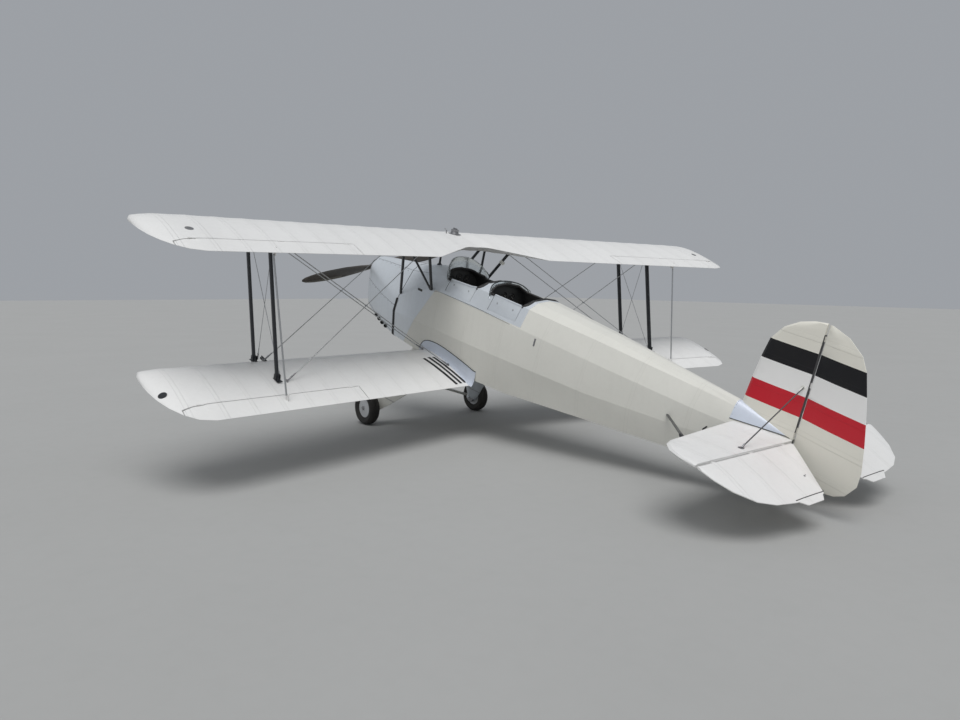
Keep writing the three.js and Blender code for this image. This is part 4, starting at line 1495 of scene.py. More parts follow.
@dataclass
class Fuselage:
    """The metal bay and panels, and the cloth behind them."""

    crease_width: float = 0.004
    crease_angle: float = 8

    def build(self) -> None:
        """Dresses the three fuselage shells and their joints."""
        for node, finish, slot in (("forward_bay", Paints.SILVER, "silver"),
                                   ("cockpit_surround", Paints.SILVER, "silver"),
                                   ("fuselage_body", Paints.CREAM, "fabric")):
            piece = Bench.tidied(node, node + "_skin")
            if node == "fuselage_body":
                Bench.cut(piece, [(stance.at(-1.72 - 0.5 * k, 0, 0), FORWARD) for k in range(9)])
            Bench.soften(piece, self.crease_width, self.crease_angle)
            Bench.done(piece, finish, angle=self.crease_angle + 1, stands_for=(node,), slot=slot)
            self.line(piece)
        self.joints()
        self.fittings()

    @staticmethod
    def line(piece: Piece) -> None:
        """Paints the faces that look inwards near black: the cockpits' dark paint, darkened further as
        painted shade for the deep insides of the shells.

        Args:
            piece: The shell to paint.
        """
        piece.data.materials.append(Paints.INSIDE.build())
        middle = stance.at(0, 0, -0.2)
        for face in piece.data.polygons:
            inward = middle - face.center
            inward -= FORWARD * inward.dot(FORWARD)
            if face.normal.dot(inward.normalized()) > -0.15:
                face.material_index = 1

    @staticmethod
    def joints() -> None:
        """Panel seams round the bay and along the cockpit panels, with rivets."""
        heads = []
        metal = Skin("forward_bay_skin")
        shoulder, crease = 2.0, 3.0
        for side in Side:
            seam(f"bay_seam_{side.label}", [hull.point(-1.19 - 0.037 * k, shoulder, side) for k in range(11)])
            seam(f"panel_edge_{side.label}", [hull.point(-1.88 - 0.06 * k, crease, side) for k in range(23)])
            heads += [hull.head(-1.88 - 0.03 * k, crease - 0.07, side) for k in range(46)]
            heads += [hull.head(-1.205, 2.1 + 0.11 * k, side) for k in range(24)]
            for k in range(18):
                z = -0.035 * k
                slanted = -1.86 - 0.6224 * (z - 0.032)
                heads.append(metal.hit(side.at(slanted, 0.7, z), -side.out))
        rivets("panel_rivets", heads, RIVET, Paints.SILVER)

    @staticmethod
    def fittings() -> None:
        """The fuel gauge post, and a small dark block on the port side below the rear cabane strut's foot."""
        deck = hull.point(-1.45, 0.0)
        post = [(0.0, -0.01), (0.03, -0.01), (0.03, 0.004), (0.014, 0.02), (0.012, 0.095), (0.017, 0.1),
                (0.017, 0.112), (0.0, 0.116)]
        Bench.done(Bench.spun("fuel_gauge_post", post, deck, UPWARD, 24), Paints.BLACK, slot="black")
        vent = Bench.block("side_vent", stance.at(-1.625, 0.353, 0.002), (0.085, 0.016, 0.026), 0.006)
        Bench.done(vent, Paints.INSIDE)


@dataclass
class Cockpit:
    """One cockpit: its coaming, screen, panel, seat, harness and stick."""

    name: str
    front: float
    shoulder: float
    back: float
    half: float
    seat_back: float
    door: tuple[float, float]
    screen_rim: Finish
    rim_radius: float
    screen_edge: tuple[tuple[float, float], ...]
    corner: float = 0.09
    roll: float = 0.013
    screen_half: float = 0.3
    floor: float = -0.56
    above: float = 0.6
    dials: tuple[tuple[float, float, float], ...] = (
        (0.0, 0.215, 0.042), (-0.115, 0.2, 0.042), (0.115, 0.2, 0.042), (-0.2, 0.11, 0.03),
        (0.2, 0.11, 0.03), (-0.06, 0.1, 0.03), (0.06, 0.1, 0.03),
    )
    # Places of the straps ahead of the seat's back, outwards and up
    shoulder_strap: tuple[Row, ...] = (
        (-0.03, 0.1, 0.14), (0.03, 0.1, 0.148), (0.092, 0.098, 0.1), (0.1, 0.09, -0.05), (0.102, 0.07, -0.16),
        (0.13, 0.045, -0.214),
    )
    lap_strap: tuple[Row, ...] = (
        (0.06, 0.18, -0.2), (0.12, 0.15, -0.208), (0.16, 0.1, -0.212), (0.18, 0.045, -0.213),
    )
    strap_half: float = 0.021

    def build(self) -> None:
        """Builds everything in and on this cockpit."""
        self.coaming()
        self.windscreen()
        self.instruments()
        self.seat()
        self.cushions()
        self.harness()
        self.stick()
        self.levers()

    def rim(self) -> list[tuple[float, float]]:
        """The opening's edge from the door's front round the front, starboard side and back.

        Returns:
            Places along the edge.
        """
        path = [(self.door[0] + 0.004, self.half)]
        for k in range(21):
            turn = pi * (0.5 - k / 20)
            path.append((self.shoulder + (self.front - self.shoulder) * cos(turn), self.half * sin(turn)))
        back, half, corner = self.back, self.half, self.corner
        corners = (
            ((back + corner, -half), (back, -half), (back, corner - half)),
            ((back, half - corner), (back, half), (back + corner, half)),
        )
        for start, bend, end in corners:
            last = path[-1]
            path += [tuple(a + (b - a) * k / 8 for a, b in zip(last, start)) for k in range(1, 8)]
            for k in range(9):
                t = k / 8
                rows = zip(start, bend, end)
                path.append(tuple((1 - t) ** 2 * a + 2 * t * (1 - t) * b + t**2 * c for a, b, c in rows))
        path.append((self.door[1] - 0.004, self.half))
        return path

    def coaming(self) -> None:
        """A stuffed leather roll laced round the opening, left off the door."""
        skin = Skin("cockpit_surround")
        middle = (self.front + self.back) / 2
        places = []
        for x, y in self.rim():
            out = Vector((x - middle, y * 1.4)).normalized() * 0.006
            low, _ = skin.under(stance.at(x + out.x, y + out.y, self.above))
            places.append(low - UPWARD * 0.001)
        roll = Bench.tube(f"coaming_{self.name}", places, self.roll, sides=4)
        Bench.done(roll, Paints.LEATHER, angle=60, slot="black")
        seam(f"coaming_lacing_{self.name}", [p + UPWARD * self.roll for p in places], 0.0022)

    def windscreen(self) -> None:
        """The bent screen with its edge and the strip at its foot."""
        node = f"windscreen_{self.name}"
        Bench.softened(node, f"screen_glass_{self.name}", 0.0015, 40, Paints.GLASS, angle=30, slot="glass")
        depth = self.front - self.shoulder + 0.111
        lean, foot_height, rise = 0.06, 0.15, 0.325
        skin = Skin("cockpit_surround")
        edge, foot = [], []
        for k in range(-16, 17):
            y = 0.292 * sin(pi / 2 * k / 16)
            setback = depth * (1 - sqrt(1 - (y / self.screen_half) ** 2))
            z = self.screen_height(abs(y))
            x = self.front + 0.087 - setback - lean * (z - foot_height) / rise
            edge.append(stance.at(x, y * 0.988, z))
            low, normal = skin.under(stance.at(self.front + 0.091 - setback - 0.035, y, self.above))
            foot.append(low + normal * 0.003)
        rim = Bench.tube(f"screen_rim_{self.name}", edge, self.rim_radius, sides=3)
        Bench.done(rim, self.screen_rim)
        strip = Bench.tube(f"screen_foot_{self.name}", foot, 0.0055, sides=2)
        Bench.done(strip, Paints.SILVER, slot="silver")

    def screen_height(self, y: float) -> float:
        """Height of the screen's edge at a place across it.

        Args:
            y: Place across the screen.

        Returns:
            The height.
        """
        for (near, high), (away, low) in zip(self.screen_edge, self.screen_edge[1:]):
            if y <= away:
                return high + (low - high) * (y - near) / (away - near)
        return self.screen_edge[-1][1]

    def instruments(self) -> None:
        """The panel with its dials and switches."""
        node = f"instrument_panel_{self.name}"
        Bench.softened(node, f"dash_{self.name}", 0.002, 40, Paints.INSIDE, slot="black")
        back = self.front + 0.026
        aft = -FORWARD
        bezels, faces, marks = [], [], []
        for y, z, r in self.dials:
            centre = stance.at(back, y, z)
            ring = [(r, -0.002), (r, 0.006), (r * 0.94, 0.009), (r * 0.86, 0.007), (r * 0.84, 0.001),
                    (r * 0.84, -0.002)]
            bezels.append(Bench.spun("bezel", ring, centre, aft, 28))
            disc = [(0.0, -0.001), (r * 0.86, -0.001), (r * 0.86, 0.002), (0.0, 0.002)]
            faces.append(Bench.spun("face", disc, centre, aft, 28))
            for k in range(10):
                angle = radians(-150 + k * 33.3)
                way = Vector((sin(angle), cos(angle)))
                start, end = (stance.at(back - 0.0025, y + way.x * r * share, z + way.y * r * share)
                              for share in (0.62, 0.78))
                marks.append(Bench.rod("mark", start, end, 0.0008, 4))
            angle = radians(random.uniform(-140, -60))
            tip = stance.at(back - 0.0035, y + sin(angle) * r * 0.66, z + cos(angle) * r * 0.66)
            marks.append(Bench.rod("pointer", stance.at(back - 0.0035, y, z), tip, 0.0011, 5))
        Bench.gather(f"dial_bezels_{self.name}", bezels, Paints.BLACK)
        Bench.gather(f"dial_faces_{self.name}", faces, Paints.DIAL)
        Bench.gather(f"dial_marks_{self.name}", marks, Paints.MARK)
        toggles = []
        for k in range(4):
            start = stance.at(back, -0.09 + 0.06 * k, 0.02)
            toggles.append(Bench.rod("toggle", start, start + aft * 0.022 + UPWARD * 0.008, 0.0035, 8))
        Bench.gather(f"switches_{self.name}", toggles, Paints.WIRE)

    def seat(self) -> None:
        """The pressed seat pan with rounded edges."""
        node = f"seat_{self.name}"
        pan = Bench.soften(Bench.tidied(node, f"seat_pan_{self.name}"), 0.006, 40, 3)
        Bench.done(pan, Paints.SILVER, angle=40, stands_for=(node,), slot="leather")

    def cushions(self) -> None:
        """A seat cushion and a back cushion, crowned and drawn in at the seams."""
        x = self.seat_back
        Cushion(f"seat_cushion_{self.name}", stance.at(x + 0.177, 0, -0.262), (0.285, 0.345, 0.07)).build()
        place = stance.at(x + 0.047, 0, -0.06)
        Cushion(f"back_cushion_{self.name}", place, (0.06, 0.345, 0.27), crown_axis=0).build()

    def harness(self) -> None:
        """Two shoulder straps and two lap straps with buckles, laid over the cushions."""
        x = self.seat_back
        straps, buckles = [], []
        for side in reversed(Side):
            for wide, run in ((SPANWISE, self.shoulder_strap), (FORWARD, self.lap_strap)):
                middle = [side.at(x + ahead, out, up) for ahead, out, up in run]
                rows = [[p - wide * self.strap_half, p + wide * self.strap_half] for p in middle]
                strap = Bench.strip("strap", rows, 0.0025)
                straps.append(Bench.modify(strap, "SUBSURF", levels=2, render_levels=2))
            place = side.at(x + 0.155, 0.045, -0.207)
            buckles.append(Bench.block("buckle", place, (0.05, 0.045, 0.008), 0.003))
        Bench.gather(f"harness_{self.name}", straps, Paints.WEBBING, angle=60)
        Bench.gather(f"buckles_{self.name}", buckles, Paints.STEEL)

    def stick(self) -> None:
        """The rubber grip on top of the control stick."""
        foot = Vector((self.door[0] - 0.005, 0, self.floor + 0.03))
        head = foot + Vector((-0.03, 0, 0.51))
        start = stance.at(*foot.lerp(head, 0.78))
        top = stance.at(*head.lerp(foot, -0.03))
        length = (top - start).length
        grip = [(0.0155, 0.0)]
        for k in range(7):
            at = 0.012 + k * (length - 0.03) / 6
            grip += [(0.0185, at), (0.0165, at + 0.006)]
        grip += [(0.014, length - 0.003), (0.0, length), (0.0, 0.0)]
        rubber = Bench.spun(f"stick_grip_{self.name}", grip, start, (top - start).normalized(), 20)
        Bench.done(rubber, Paints.RUBBER)

    def levers(self) -> None:
        """A quadrant on the port wall with throttle and trim levers."""
        x = self.shoulder - 0.1
        parts = [Bench.block("quadrant", stance.at(x, 0.322, 0.0), (0.16, 0.01, 0.09), 0.004)]
        knobs = []
        ball = [(0.0, -0.012), (0.008, -0.009), (0.012, 0.0), (0.008, 0.009), (0.0, 0.012)]
        for k, lean in enumerate((0.5, -0.2)):
            start = stance.at(x, 0.312 - 0.01 * k, -0.02)
            end = start + FORWARD * 0.09 * sin(lean) + UPWARD * 0.11 * cos(lean)
            parts.append(Bench.rod("lever", start, end, 0.003, 8))
            knobs.append(Bench.spun("knob", ball, end, UPWARD, 16))
        Bench.gather(f"quadrant_{self.name}", parts, Paints.STEEL)
        Bench.gather(f"lever_knobs_{self.name}", knobs, Paints.BLACK)


@dataclass
class Cushion:
    """A leather cushion: a block drawn in at its edges and crowned, with a sewn channel pattern."""

    name: str
    centre: Vector
    size: Row
    crown_axis: int = 2
    crown: float = 0.012
    pull: float = 0.006
    channels: int = 4

    def build(self) -> None:
        piece = Bench.settle(Bench.fresh(self.name, bpy.ops.mesh.primitive_cube_add, size=1, scale=self.size))
        Bench.open(piece)
        bpy.ops.mesh.subdivide(number_cuts=15)
        Bench.close()
        flat = [axis for axis in range(3) if axis != self.crown_axis]
        for vertex in piece.data.vertices:
            share = [2 * vertex.co[axis] / self.size[axis] for axis in range(3)]
            a, b = share[flat[0]], share[flat[1]]
            t = share[self.crown_axis]
            edge = (1 - abs(a) ** 3) * (1 - abs(b) ** 3)
            groove = 0.25 * max(0.0, 1 - abs(sin(pi * self.channels * (b + 1) / 2)) * 3.5)
            rise = copysign(self.crown, t) * (edge - groove * edge) * min(1.0, abs(t) * 1.3)
            vertex.co[self.crown_axis] += rise
            for axis, other in ((flat[0], b), (flat[1], a)):
                inward = self.pull * (1 - abs(other) ** 4) * (1 - t**2) - self.pull * 0.9
                if abs(share[axis]) > 0.99:
                    vertex.co[axis] += copysign(inward, share[axis])
        piece.data.transform(Matrix.Translation(self.centre) @ stance.turn.to_4x4())
        Bench.modify(piece, "SUBSURF", levels=1, render_levels=1)
        Bench.done(piece, Paints.BROWN_LEATHER, angle=70, slot="leather")


class Doors:
    """The two drop-down cockpit doors with rolled tops, hinges and latches."""

    boss = ((0.0, -0.002), (0.009, -0.002), (0.009, 0.002), (0.004, 0.005), (0.0, 0.005))

    def build(self) -> None:
        """Dresses both doors."""
        for name, front, back in (("front", -2.065, -2.515), ("rear", -2.82, -3.245)):
            node = f"cockpit_door_{name}"
            Bench.softened(node, f"door_skin_{name}", 0.003, 30, Paints.SILVER, node, slot="silver")
            skin = Skin(node)
            top = []
            for k in range(12):
                x = front - 0.008 + (back - front + 0.016) * k / 11
                high, _ = skin.under(stance.at(x, 0.262, 0.5))
                top.append(high + UPWARD * 0.001)
            bead = Bench.tube(f"door_bead_{name}", top, 0.009, sides=3)
            Bench.done(bead, Paints.SILVER, node, 60, slot="silver")
            latches = []
            for x in (front - 0.09, back + 0.09):
                place, normal = skin.hit(stance.at(x, 0.6, 0.2), -SPANWISE)
                latches.append(Bench.spun("latch", self.boss, place, normal, 16))
                middle = place + normal * 0.004
                ends = middle - UPWARD * 0.012, middle + UPWARD * 0.012
                latches.append(Bench.rod("latch bar", *ends, 0.0025, 8))
            Bench.gather(f"door_latches_{name}", latches, Paints.WIRE, node)
            hinge = []
            for k in range(10):
                x = front - 0.02 + (back - front + 0.04) * (k + 0.5) / 10
                hinge.append(skin.hit(stance.at(x, 0.6, 0.122), -SPANWISE))
            rivets(f"door_rivets_{name}", hinge, RIVET, Paints.SILVER, node)


# Propeller, bracing and wing fittings


@dataclass
class Propeller:
    """The two-blade wooden propeller with its sheathed edges and bolted hub."""

    place: float = -0.128
    thrust_height: float = -0.06
    radius: float = 1.105
    turn: float = radians(-11.7)
    hub: float = 0.078
    hub_back: float = -0.1795
    hub_front: float = -0.058
    bolts: int = 8
    bolt_circle: float = 0.053
    # Columns: share of the radius, width, thickness, pitch in degrees
    rows: tuple[Row, ...] = (
        (0.03, 0.096, 0.088, 62), (0.12, 0.112, 0.062, 52), (0.25, 0.142, 0.042, 40),
        (0.45, 0.158, 0.028, 28), (0.68, 0.146, 0.019, 20), (0.86, 0.112, 0.013, 16),
        (0.96, 0.07, 0.009, 14), (1.0, 0.026, 0.005, 13),
    )

    def build(self) -> None:
        """Builds the blades, the edge sheaths and the hub."""
        hub, back, front = self.hub, self.hub_back, self.hub_front
        blades = [self.blade(flip) for flip in (1, -1)]
        boss = [(0.0, back), (hub, back), (hub + 0.002, back + 0.02), (hub + 0.002, front - 0.034),
                (hub - 0.004, front - 0.022), (0.0, front - 0.022)]
        centre = stance.at(0, 0, self.thrust_height)
        blades.append(Bench.spun("boss", boss, centre, FORWARD, 40))
        Bench.gather("propeller_blades", blades, Paints.WOOD, "propeller", 50, ("propeller",), "wood")
        sheaths = [self.sheath(flip) for flip in (1, -1)]
        Bench.gather("propeller_sheaths", sheaths, Paints.TARNISHED, "propeller", 60)
        plate = [(0.0, front - 0.0225), (hub - 0.006, front - 0.0225), (hub - 0.008, front - 0.015),
                 (0.03, front - 0.014), (0.028, front - 0.001), (0.0, front - 0.0005)]
        metal = [Bench.spun("plate", plate, centre, FORWARD, 40)]
        for k in range(self.bolts):
            angle = 2 * pi * k / self.bolts
            y, z = self.bolt_circle * cos(angle), self.bolt_circle * sin(angle)
            start = stance.at(front - 0.016, y, self.thrust_height + z)
            metal.append(Bench.rod("bolt", start, start + FORWARD * 0.013, 0.0075, 6))
        Bench.gather("propeller_hub_plate", metal, Paints.STEEL, "propeller", 35, slot="steel")

    def values(self, share: float) -> list[float]:
        """Width, thickness and pitch at a share of the radius, eased between the rows.

        Args:
            share: Share of the radius.

        Returns:
            Width, thickness and pitch.
        """
        for near, far in zip(self.rows, self.rows[1:]):
            if share <= far[0]:
                break
        t = (share - near[0]) / (far[0] - near[0])
        return [a + (b - a) * t for a, b in zip(near[1:], far[1:])]

    def spot(self, share: float, angle: float, grow: float, flip: int) -> Vector:
        """A point of a blade's section, by its angle round the section.

        Args:
            share: Share of the radius.
            angle: Angle round the section.
            grow: How far outside the wood.
            flip: 1 for one blade, -1 for the other.

        Returns:
            The point in the part's frame.
        """
        width, thick, pitch = self.values(share)
        lean = radians(pitch)
        along = (width / 2 + grow) * cos(angle)
        deep = (thick / 2 + grow) * sin(angle)
        x = self.place + along * sin(lean) * 0.55 + deep * cos(lean)
        y = share * self.radius
        z = -along * cos(lean) + deep * sin(lean) * 0.5
        y, z = flip * y, flip * z
        return stance.at(x, y * cos(self.turn) - z * sin(self.turn),
                         y * sin(self.turn) + z * cos(self.turn) + self.thrust_height)

    def blade(self, flip: int) -> Piece:
        """One blade through many sections.

        Args:
            flip: 1 for one blade, -1 for the other.

        Returns:
            The blade.
        """
        shares = [0.03 + 0.93 * (k / 24) for k in range(25)] + [0.975, 0.988, 0.996, 1.0]
        rings = [[self.spot(s, 2 * pi * k / 20, 0.0, flip) for k in range(20)] for s in shares]
        return Bench.loft("blade", rings)

    def sheath(self, flip: int) -> Piece:
        """The metal strip round the outer leading edge.

        Args:
            flip: 1 for one blade, -1 for the other.

        Returns:
            The sheath.
        """
        shares = [0.5 + 0.49 * (k / 14) for k in range(15)]
        angles = [radians(a) for a in (-62, -35, -14, 0, 14, 35, 62)]
        rows = [[self.spot(s, a, 0.0006, flip) for a in angles] for s in shares]
        return Bench.strip("sheath", rows, 0.0006)


@dataclass
class Bracing:
    """Struts, wires, push rods and their end fittings."""

    stay_offset: float = 0.07
    cross_offset: float = 0.03

    def build(self) -> None:
        """Smooths the bars of the frame and adds the fittings."""
        for side in Side:
            label = side.label
            for stem in ("strut_front", "strut_rear", "cabane", "tail_strut"):
                self.smoothed(f"{stem}_{label}", Paints.BLACK, "black")
            for stem in ("stays_front", "stays_rear"):
                self.smoothed(f"{stem}_{label}", Paints.WIRE, "steel")
            high, low = side.at(-6.105, 0.014, 0.453), side.at(-6.085, 0.64, 0.031)
            ends = high.lerp(low, 0.001), high.lerp(low, 0.999)
            wire = Bench.rod(f"tail_wire_{label}_rod", *ends, 0.0048, 10, 0.001)
            Bench.done(wire, Paints.CABLE, angle=55, stands_for=(f"tail_wire_{label}",), slot="steel")
            link = f"aileron_link_{label}"
            self.smoothed(link, Paints.WIRE, "steel", link)
            self.feet(side)
            self.cross_wires(side)
            self.stay_ends(side)
            self.wire_bracket(side)
        self.collar()

    @staticmethod
    def smoothed(node: str, finish: Finish, slot: str, body: str = "airframe") -> None:
        """A smooth copy of a bar or wire in its own finish."""
        Bench.done(Bench.copied(node, node + "_bar"), finish, body, 55, (node,), slot)

    @staticmethod
    def feet(side: Side) -> None:
        """Forked fittings with a pin at both ends of each wing strut.

        Args:
            side: The aircraft's side.
        """
        parts = []
        y = STRUT_STATION * side.value
        for spar in (FRONT_SPAR, REAR_SPAR):
            foot, head = LOWER.point(y, spar), UPPER.point(y, spar, False)
            along = (head - foot).normalized()
            for end, inward in ((foot, along), (head, -along)):
                parts.append(Bench.block("pad", end + inward * 0.003, (0.115, 0.052, 0.006), 0.002))
                for step in (-0.019, 0.019):
                    place = end + inward * 0.028 + SPANWISE * step
                    parts.append(Bench.block("cheek", place, (0.05, 0.004, 0.05), 0.0018))
                pin = end + inward * 0.034
                parts.append(Bench.rod("pin", pin - SPANWISE * 0.027, pin + SPANWISE * 0.027, 0.0065, 8))
        Bench.gather(f"strut_fittings_{side.label}", parts, Paints.BLACK, slot="black")

    def cross_wires(self, side: Side) -> None:
        """The crossing wires between the front and rear strut.

        Args:
            side: The aircraft's side.
        """
        y = (STRUT_STATION - self.cross_offset) * side.value
        wires = []
        ends = (
            (LOWER.point(y, FRONT_SPAR, True, 0.016), UPPER.point(y, REAR_SPAR, False, -0.016)),
            (LOWER.point(y, REAR_SPAR, True, 0.016), UPPER.point(y, FRONT_SPAR, False, -0.016)),
        )
        for k, (low, high) in enumerate(ends):
            step = SPANWISE * 0.006 * (k - 0.5)
            wires.append(Bench.rod("wire", low + step, high + step, 0.0028, 8))
            along = (high - low).normalized()
            wires.append(Bench.spun("ferrule", self.ferrule(), low + step, along, 10))
            wires.append(Bench.spun("ferrule", self.ferrule(), high + step, -along, 10))
        Bench.gather(f"cross_wires_{side.label}", wires, Paints.WIRE, slot="steel")

    @staticmethod
    def ferrule() -> list[Row]:
        """The profile of a threaded wire end with its lock nut."""
        return [(0.0, 0.0), (0.0055, 0.0), (0.0055, 0.05), (0.008, 0.053), (0.008, 0.062), (0.0045, 0.066),
                (0.0042, 0.11), (0.0, 0.112)]

    def stay_ends(self, side: Side) -> None:
        """Wire ends and fork plates of the flying and landing wires.

        Args:
            side: The aircraft's side.
        """
        parts = []
        out = (STRUT_STATION - self.stay_offset) * side.value
        for spar in (FRONT_SPAR + 0.035, REAR_SPAR + 0.04):
            pairs = (
                (LOWER.point(0.392 * side.value, spar, True, -0.004), UPPER.point(out, spar, False, 0.004)),
                (UPPER.point(0.666 * side.value, spar, False, 0.004), LOWER.point(out, spar, True, -0.004)),
            )
            for start, end in pairs:
                along = (end - start).normalized()
                for place, heading in ((start, along), (end, -along)):
                    profile = [(r * 1.15, a) for r, a in self.ferrule()]
                    parts.append(Bench.spun("ferrule", profile, place + heading * 0.02, heading, 10))
                    parts.append(Bench.block("fork", place + heading * 0.016, (0.03, 0.012, 0.03), 0.003))
        Bench.gather(f"stay_ends_{side.label}", parts, Paints.STEEL, slot="steel")

    @staticmethod
    def wire_bracket(side: Side) -> None:
        """The dark bracket with its pin, inboard of the front strut's foot.

        Args:
            side: The aircraft's side.
        """
        middle = LOWER.point(2.5 * side.value, 0.062, True, 0.012)
        start = LOWER.point(2.47 * side.value, 0.03, True, 0.02)
        end = LOWER.point(2.55 * side.value, 0.12, True, 0.05)
        parts = [
            Bench.block("bracket", middle, (0.1, 0.03, 0.022), 0.006),
            Bench.rod("bracket pin", start, end, 0.006, 10),
        ]
        Bench.gather(f"wire_bracket_{side.label}", parts, Paints.BLACK)

    @staticmethod
    def collar() -> None:
        """The pale clamp round the rear starboard cabane strut, and the pad on the deck below it."""
        foot, head = stance.at(-1.809, -0.325, 0.02), UPPER.point(-0.606, REAR_SPAR, True, -0.09)
        along = (head - foot).normalized()
        band = [(0.014, -0.02), (0.03, -0.02), (0.033, 0.0), (0.03, 0.02), (0.014, 0.02)]
        Bench.done(Bench.spun("cabane_clamp", band, foot.lerp(head, 0.72), along, 20), Paints.MARK)
        place, normal = Skin("cockpit_surround_skin").under(stance.at(-2.12, -0.285, 0.6))
        pad = Bench.block("deck_pad", place + normal * 0.006, (0.11, 0.045, 0.014), 0.005)
        Bench.done(pad, Paints.LEATHER)


@dataclass
class WingFittings:
    """Walkways, root fillets, inspection covers and the tank filler."""

    # Columns: station and share of the chord at the front, then at the back, in metres
    walkways: tuple[Row, ...] = (
        (0.634, 0.41, 0.552, 0.955), (0.552, 0.4, 0.478, 0.95), (0.478, 0.4, 0.408, 0.945),
    )
    walkway_width: float = 0.038
    walkway_wall: float = 0.0012
    root: float = 0.3525
    # Columns: share of the chord, width on the wing, height on the fuselage side, in metres
    fillet_rows: tuple[Row, ...] = (
        (-0.012, 0.014, 0.03), (0.0, 0.014, 0.05), (0.01, 0.014, 0.065), (0.03, 0.015, 0.08),
        (0.06, 0.016, 0.095), (0.1, 0.017, 0.105), (0.16, 0.019, 0.112), (0.24, 0.022, 0.118),
        (0.34, 0.025, 0.124), (0.46, 0.029, 0.13), (0.58, 0.033, 0.136), (0.7, 0.037, 0.144),
        (0.82, 0.041, 0.154), (0.92, 0.044, 0.162), (1.0, 0.046, 0.166), (1.04, 0.046, 0.166),
    )
    clear: float = 0.002

    def build(self) -> None:
        """Builds the fittings of both sides and the centre."""
        for side in Side:
            skin = Skin(f"lower_wing_{side.label}_cloth")
            self.strips(side, skin)
            self.fillet(side, skin)
            self.covers(side)
        self.filler()

    def strips(self, side: Side, skin: Skin) -> None:
        """Three dark grip strips on the wing root.

        Args:
            side: The aircraft's side.
            skin: The lower wing's cloth.
        """
        bars = []
        for y_front, f_front, y_back, f_back in self.walkways:
            rows = []
            for k in range(15):
                t = k / 14
                y, fraction = y_front + (y_back - y_front) * t, f_front + (f_back - f_front) * t
                row = []
                for step in (-self.walkway_width / 2, 0.0, self.walkway_width / 2):
                    place, normal = skin.under(LOWER.point((y + step) * side.value, fraction, True, 0.05))
                    row.append(place + normal * self.walkway_wall)
                rows.append(row)
            bars.append(Bench.strip("walkway", rows, self.walkway_wall))
        Bench.gather(f"walkway_strips_{side.label}", bars, Paints.MATT_BLACK)

    def fillet(self, side: Side, skin: Skin) -> None:
        """The hollow metal fillet between the lower wing's top and the fuselage side.

        Args:
            side: The aircraft's side.
            skin: The lower wing's cloth.
        """
        flank = Skin("fuselage_body_skin", "forward_bay_skin")
        rows, heads = [], []
        for fraction, width, height in self.fillet_rows:
            inside = min(1.0, max(0.0, fraction))
            ahead = FORWARD * (inside - fraction)
            root = LOWER.point(self.root * side.value, inside, True, 0.0)
            foot = LOWER.point((self.root + width) * side.value, inside, True, 0.0015)
            if 0.02 < fraction < 0.97:
                foot = skin.under(foot + UPWARD * 0.05)[0] + UPWARD * 0.001
            foot += ahead
            top, normal = flank.hit(root + ahead + UPWARD * height + side.out * 0.4, -side.out)
            top += normal * self.clear
            corner = (root + ahead + UPWARD * 0.004).lerp((foot + top) / 2, 0.15)
            row = []
            for k in range(7):
                t = k / 6
                place = foot * (1 - t) ** 2 + corner * 2 * t * (1 - t) + top * t**2
                if k > 2:
                    wall = flank.hit(place + side.out * 0.4, -side.out)[0]
                    place += side.out * max(0.0, (wall - place).dot(SPANWISE) * side.value + self.clear)
                row.append(place)
            rows.append(row)
            heads.append((row[1] + UPWARD * 0.0005, UPWARD))
        piece = Bench.strip(f"root_fillet_{side.label}", rows, 0.0015)
        Bench.done(piece, Paints.PALE_BLUE, angle=50, slot="silver")
        seam(f"fillet_edge_{side.label}", [row[-1] + side.out * self.clear for row in rows[1:]], 0.004)
        between = [(a[0].lerp(b[0], t), a[1]) for a, b in zip(heads[2:], heads[3:]) for t in (0.0, 0.5)]
        rivets(f"fillet_screws_{side.label}", between, RIVET, Paints.STEEL)

    @staticmethod
    def covers(side: Side) -> None:
        """A round plate near each wing's tip, and small inspection covers under the wings.

        Args:
            side: The aircraft's side.
        """
        ring = [(0.0, 0.0), (0.035, 0.0), (0.035, 0.0016), (0.031, 0.0024), (0.0, 0.0024)]
        tips = (("upper", UPPER, 3.352, 0.6, Paints.STEEL), ("lower", LOWER, 3.62, 0.54, Paints.BLACK))
        for level, wing, y, fraction, finish in tips:
            ending = f"{level}_{side.label}"
            skin = Skin(f"{level}_wing_{side.label}_cloth")
            place, normal = skin.under(wing.point(y * side.value, fraction, True, 0.05))
            tip = Bench.spun(f"tip_cover_{ending}", ring, place - normal * 0.0005, normal, 28)
            Bench.done(tip, finish)
            places = [skin.hit(wing.point(station * side.value, 0.7, False, -0.05), UPWARD)
                      for station in (0.9, 1.5, 2.1, 2.9)]
            disc = Bench.spun("cover", ring, Vector((0, 0, 0)), LEVEL, 20)
            Bench.done(Bench.scattered(f"inspection_covers_{ending}", disc, places), Paints.SILVER)

    @staticmethod
    def filler() -> None:
        """The filler cap with its vent on top of the centre section."""
        place, normal = Skin("upper_wing_centre_cloth").under(stance.at(-1.643, 0.0, 1.2))
        base = place - normal * 0.001
        plate = [(0.0, 0.0), (0.075, 0.0), (0.075, 0.003), (0.05, 0.007), (0.042, 0.03), (0.046, 0.036),
                 (0.046, 0.05), (0.03, 0.056), (0.0, 0.057)]
        parts = [Bench.spun("cap", plate, base, UPWARD, 32)]
        parts.append(Bench.block("cap grip", base + UPWARD * 0.062, (0.07, 0.01, 0.016), 0.003))
        Bench.gather("tank_filler", parts, Paints.STEEL)
        foot = base + SPANWISE * 0.12
        bend = [foot - UPWARD * 0.004, foot + UPWARD * 0.03, foot + UPWARD * 0.045 + FORWARD * 0.012,
                foot + UPWARD * 0.05 + FORWARD * 0.04]
        Bench.done(Bench.tube("tank_vent", bend, 0.006, sides=3), Paints.STEEL)


# Undercarriage and tail


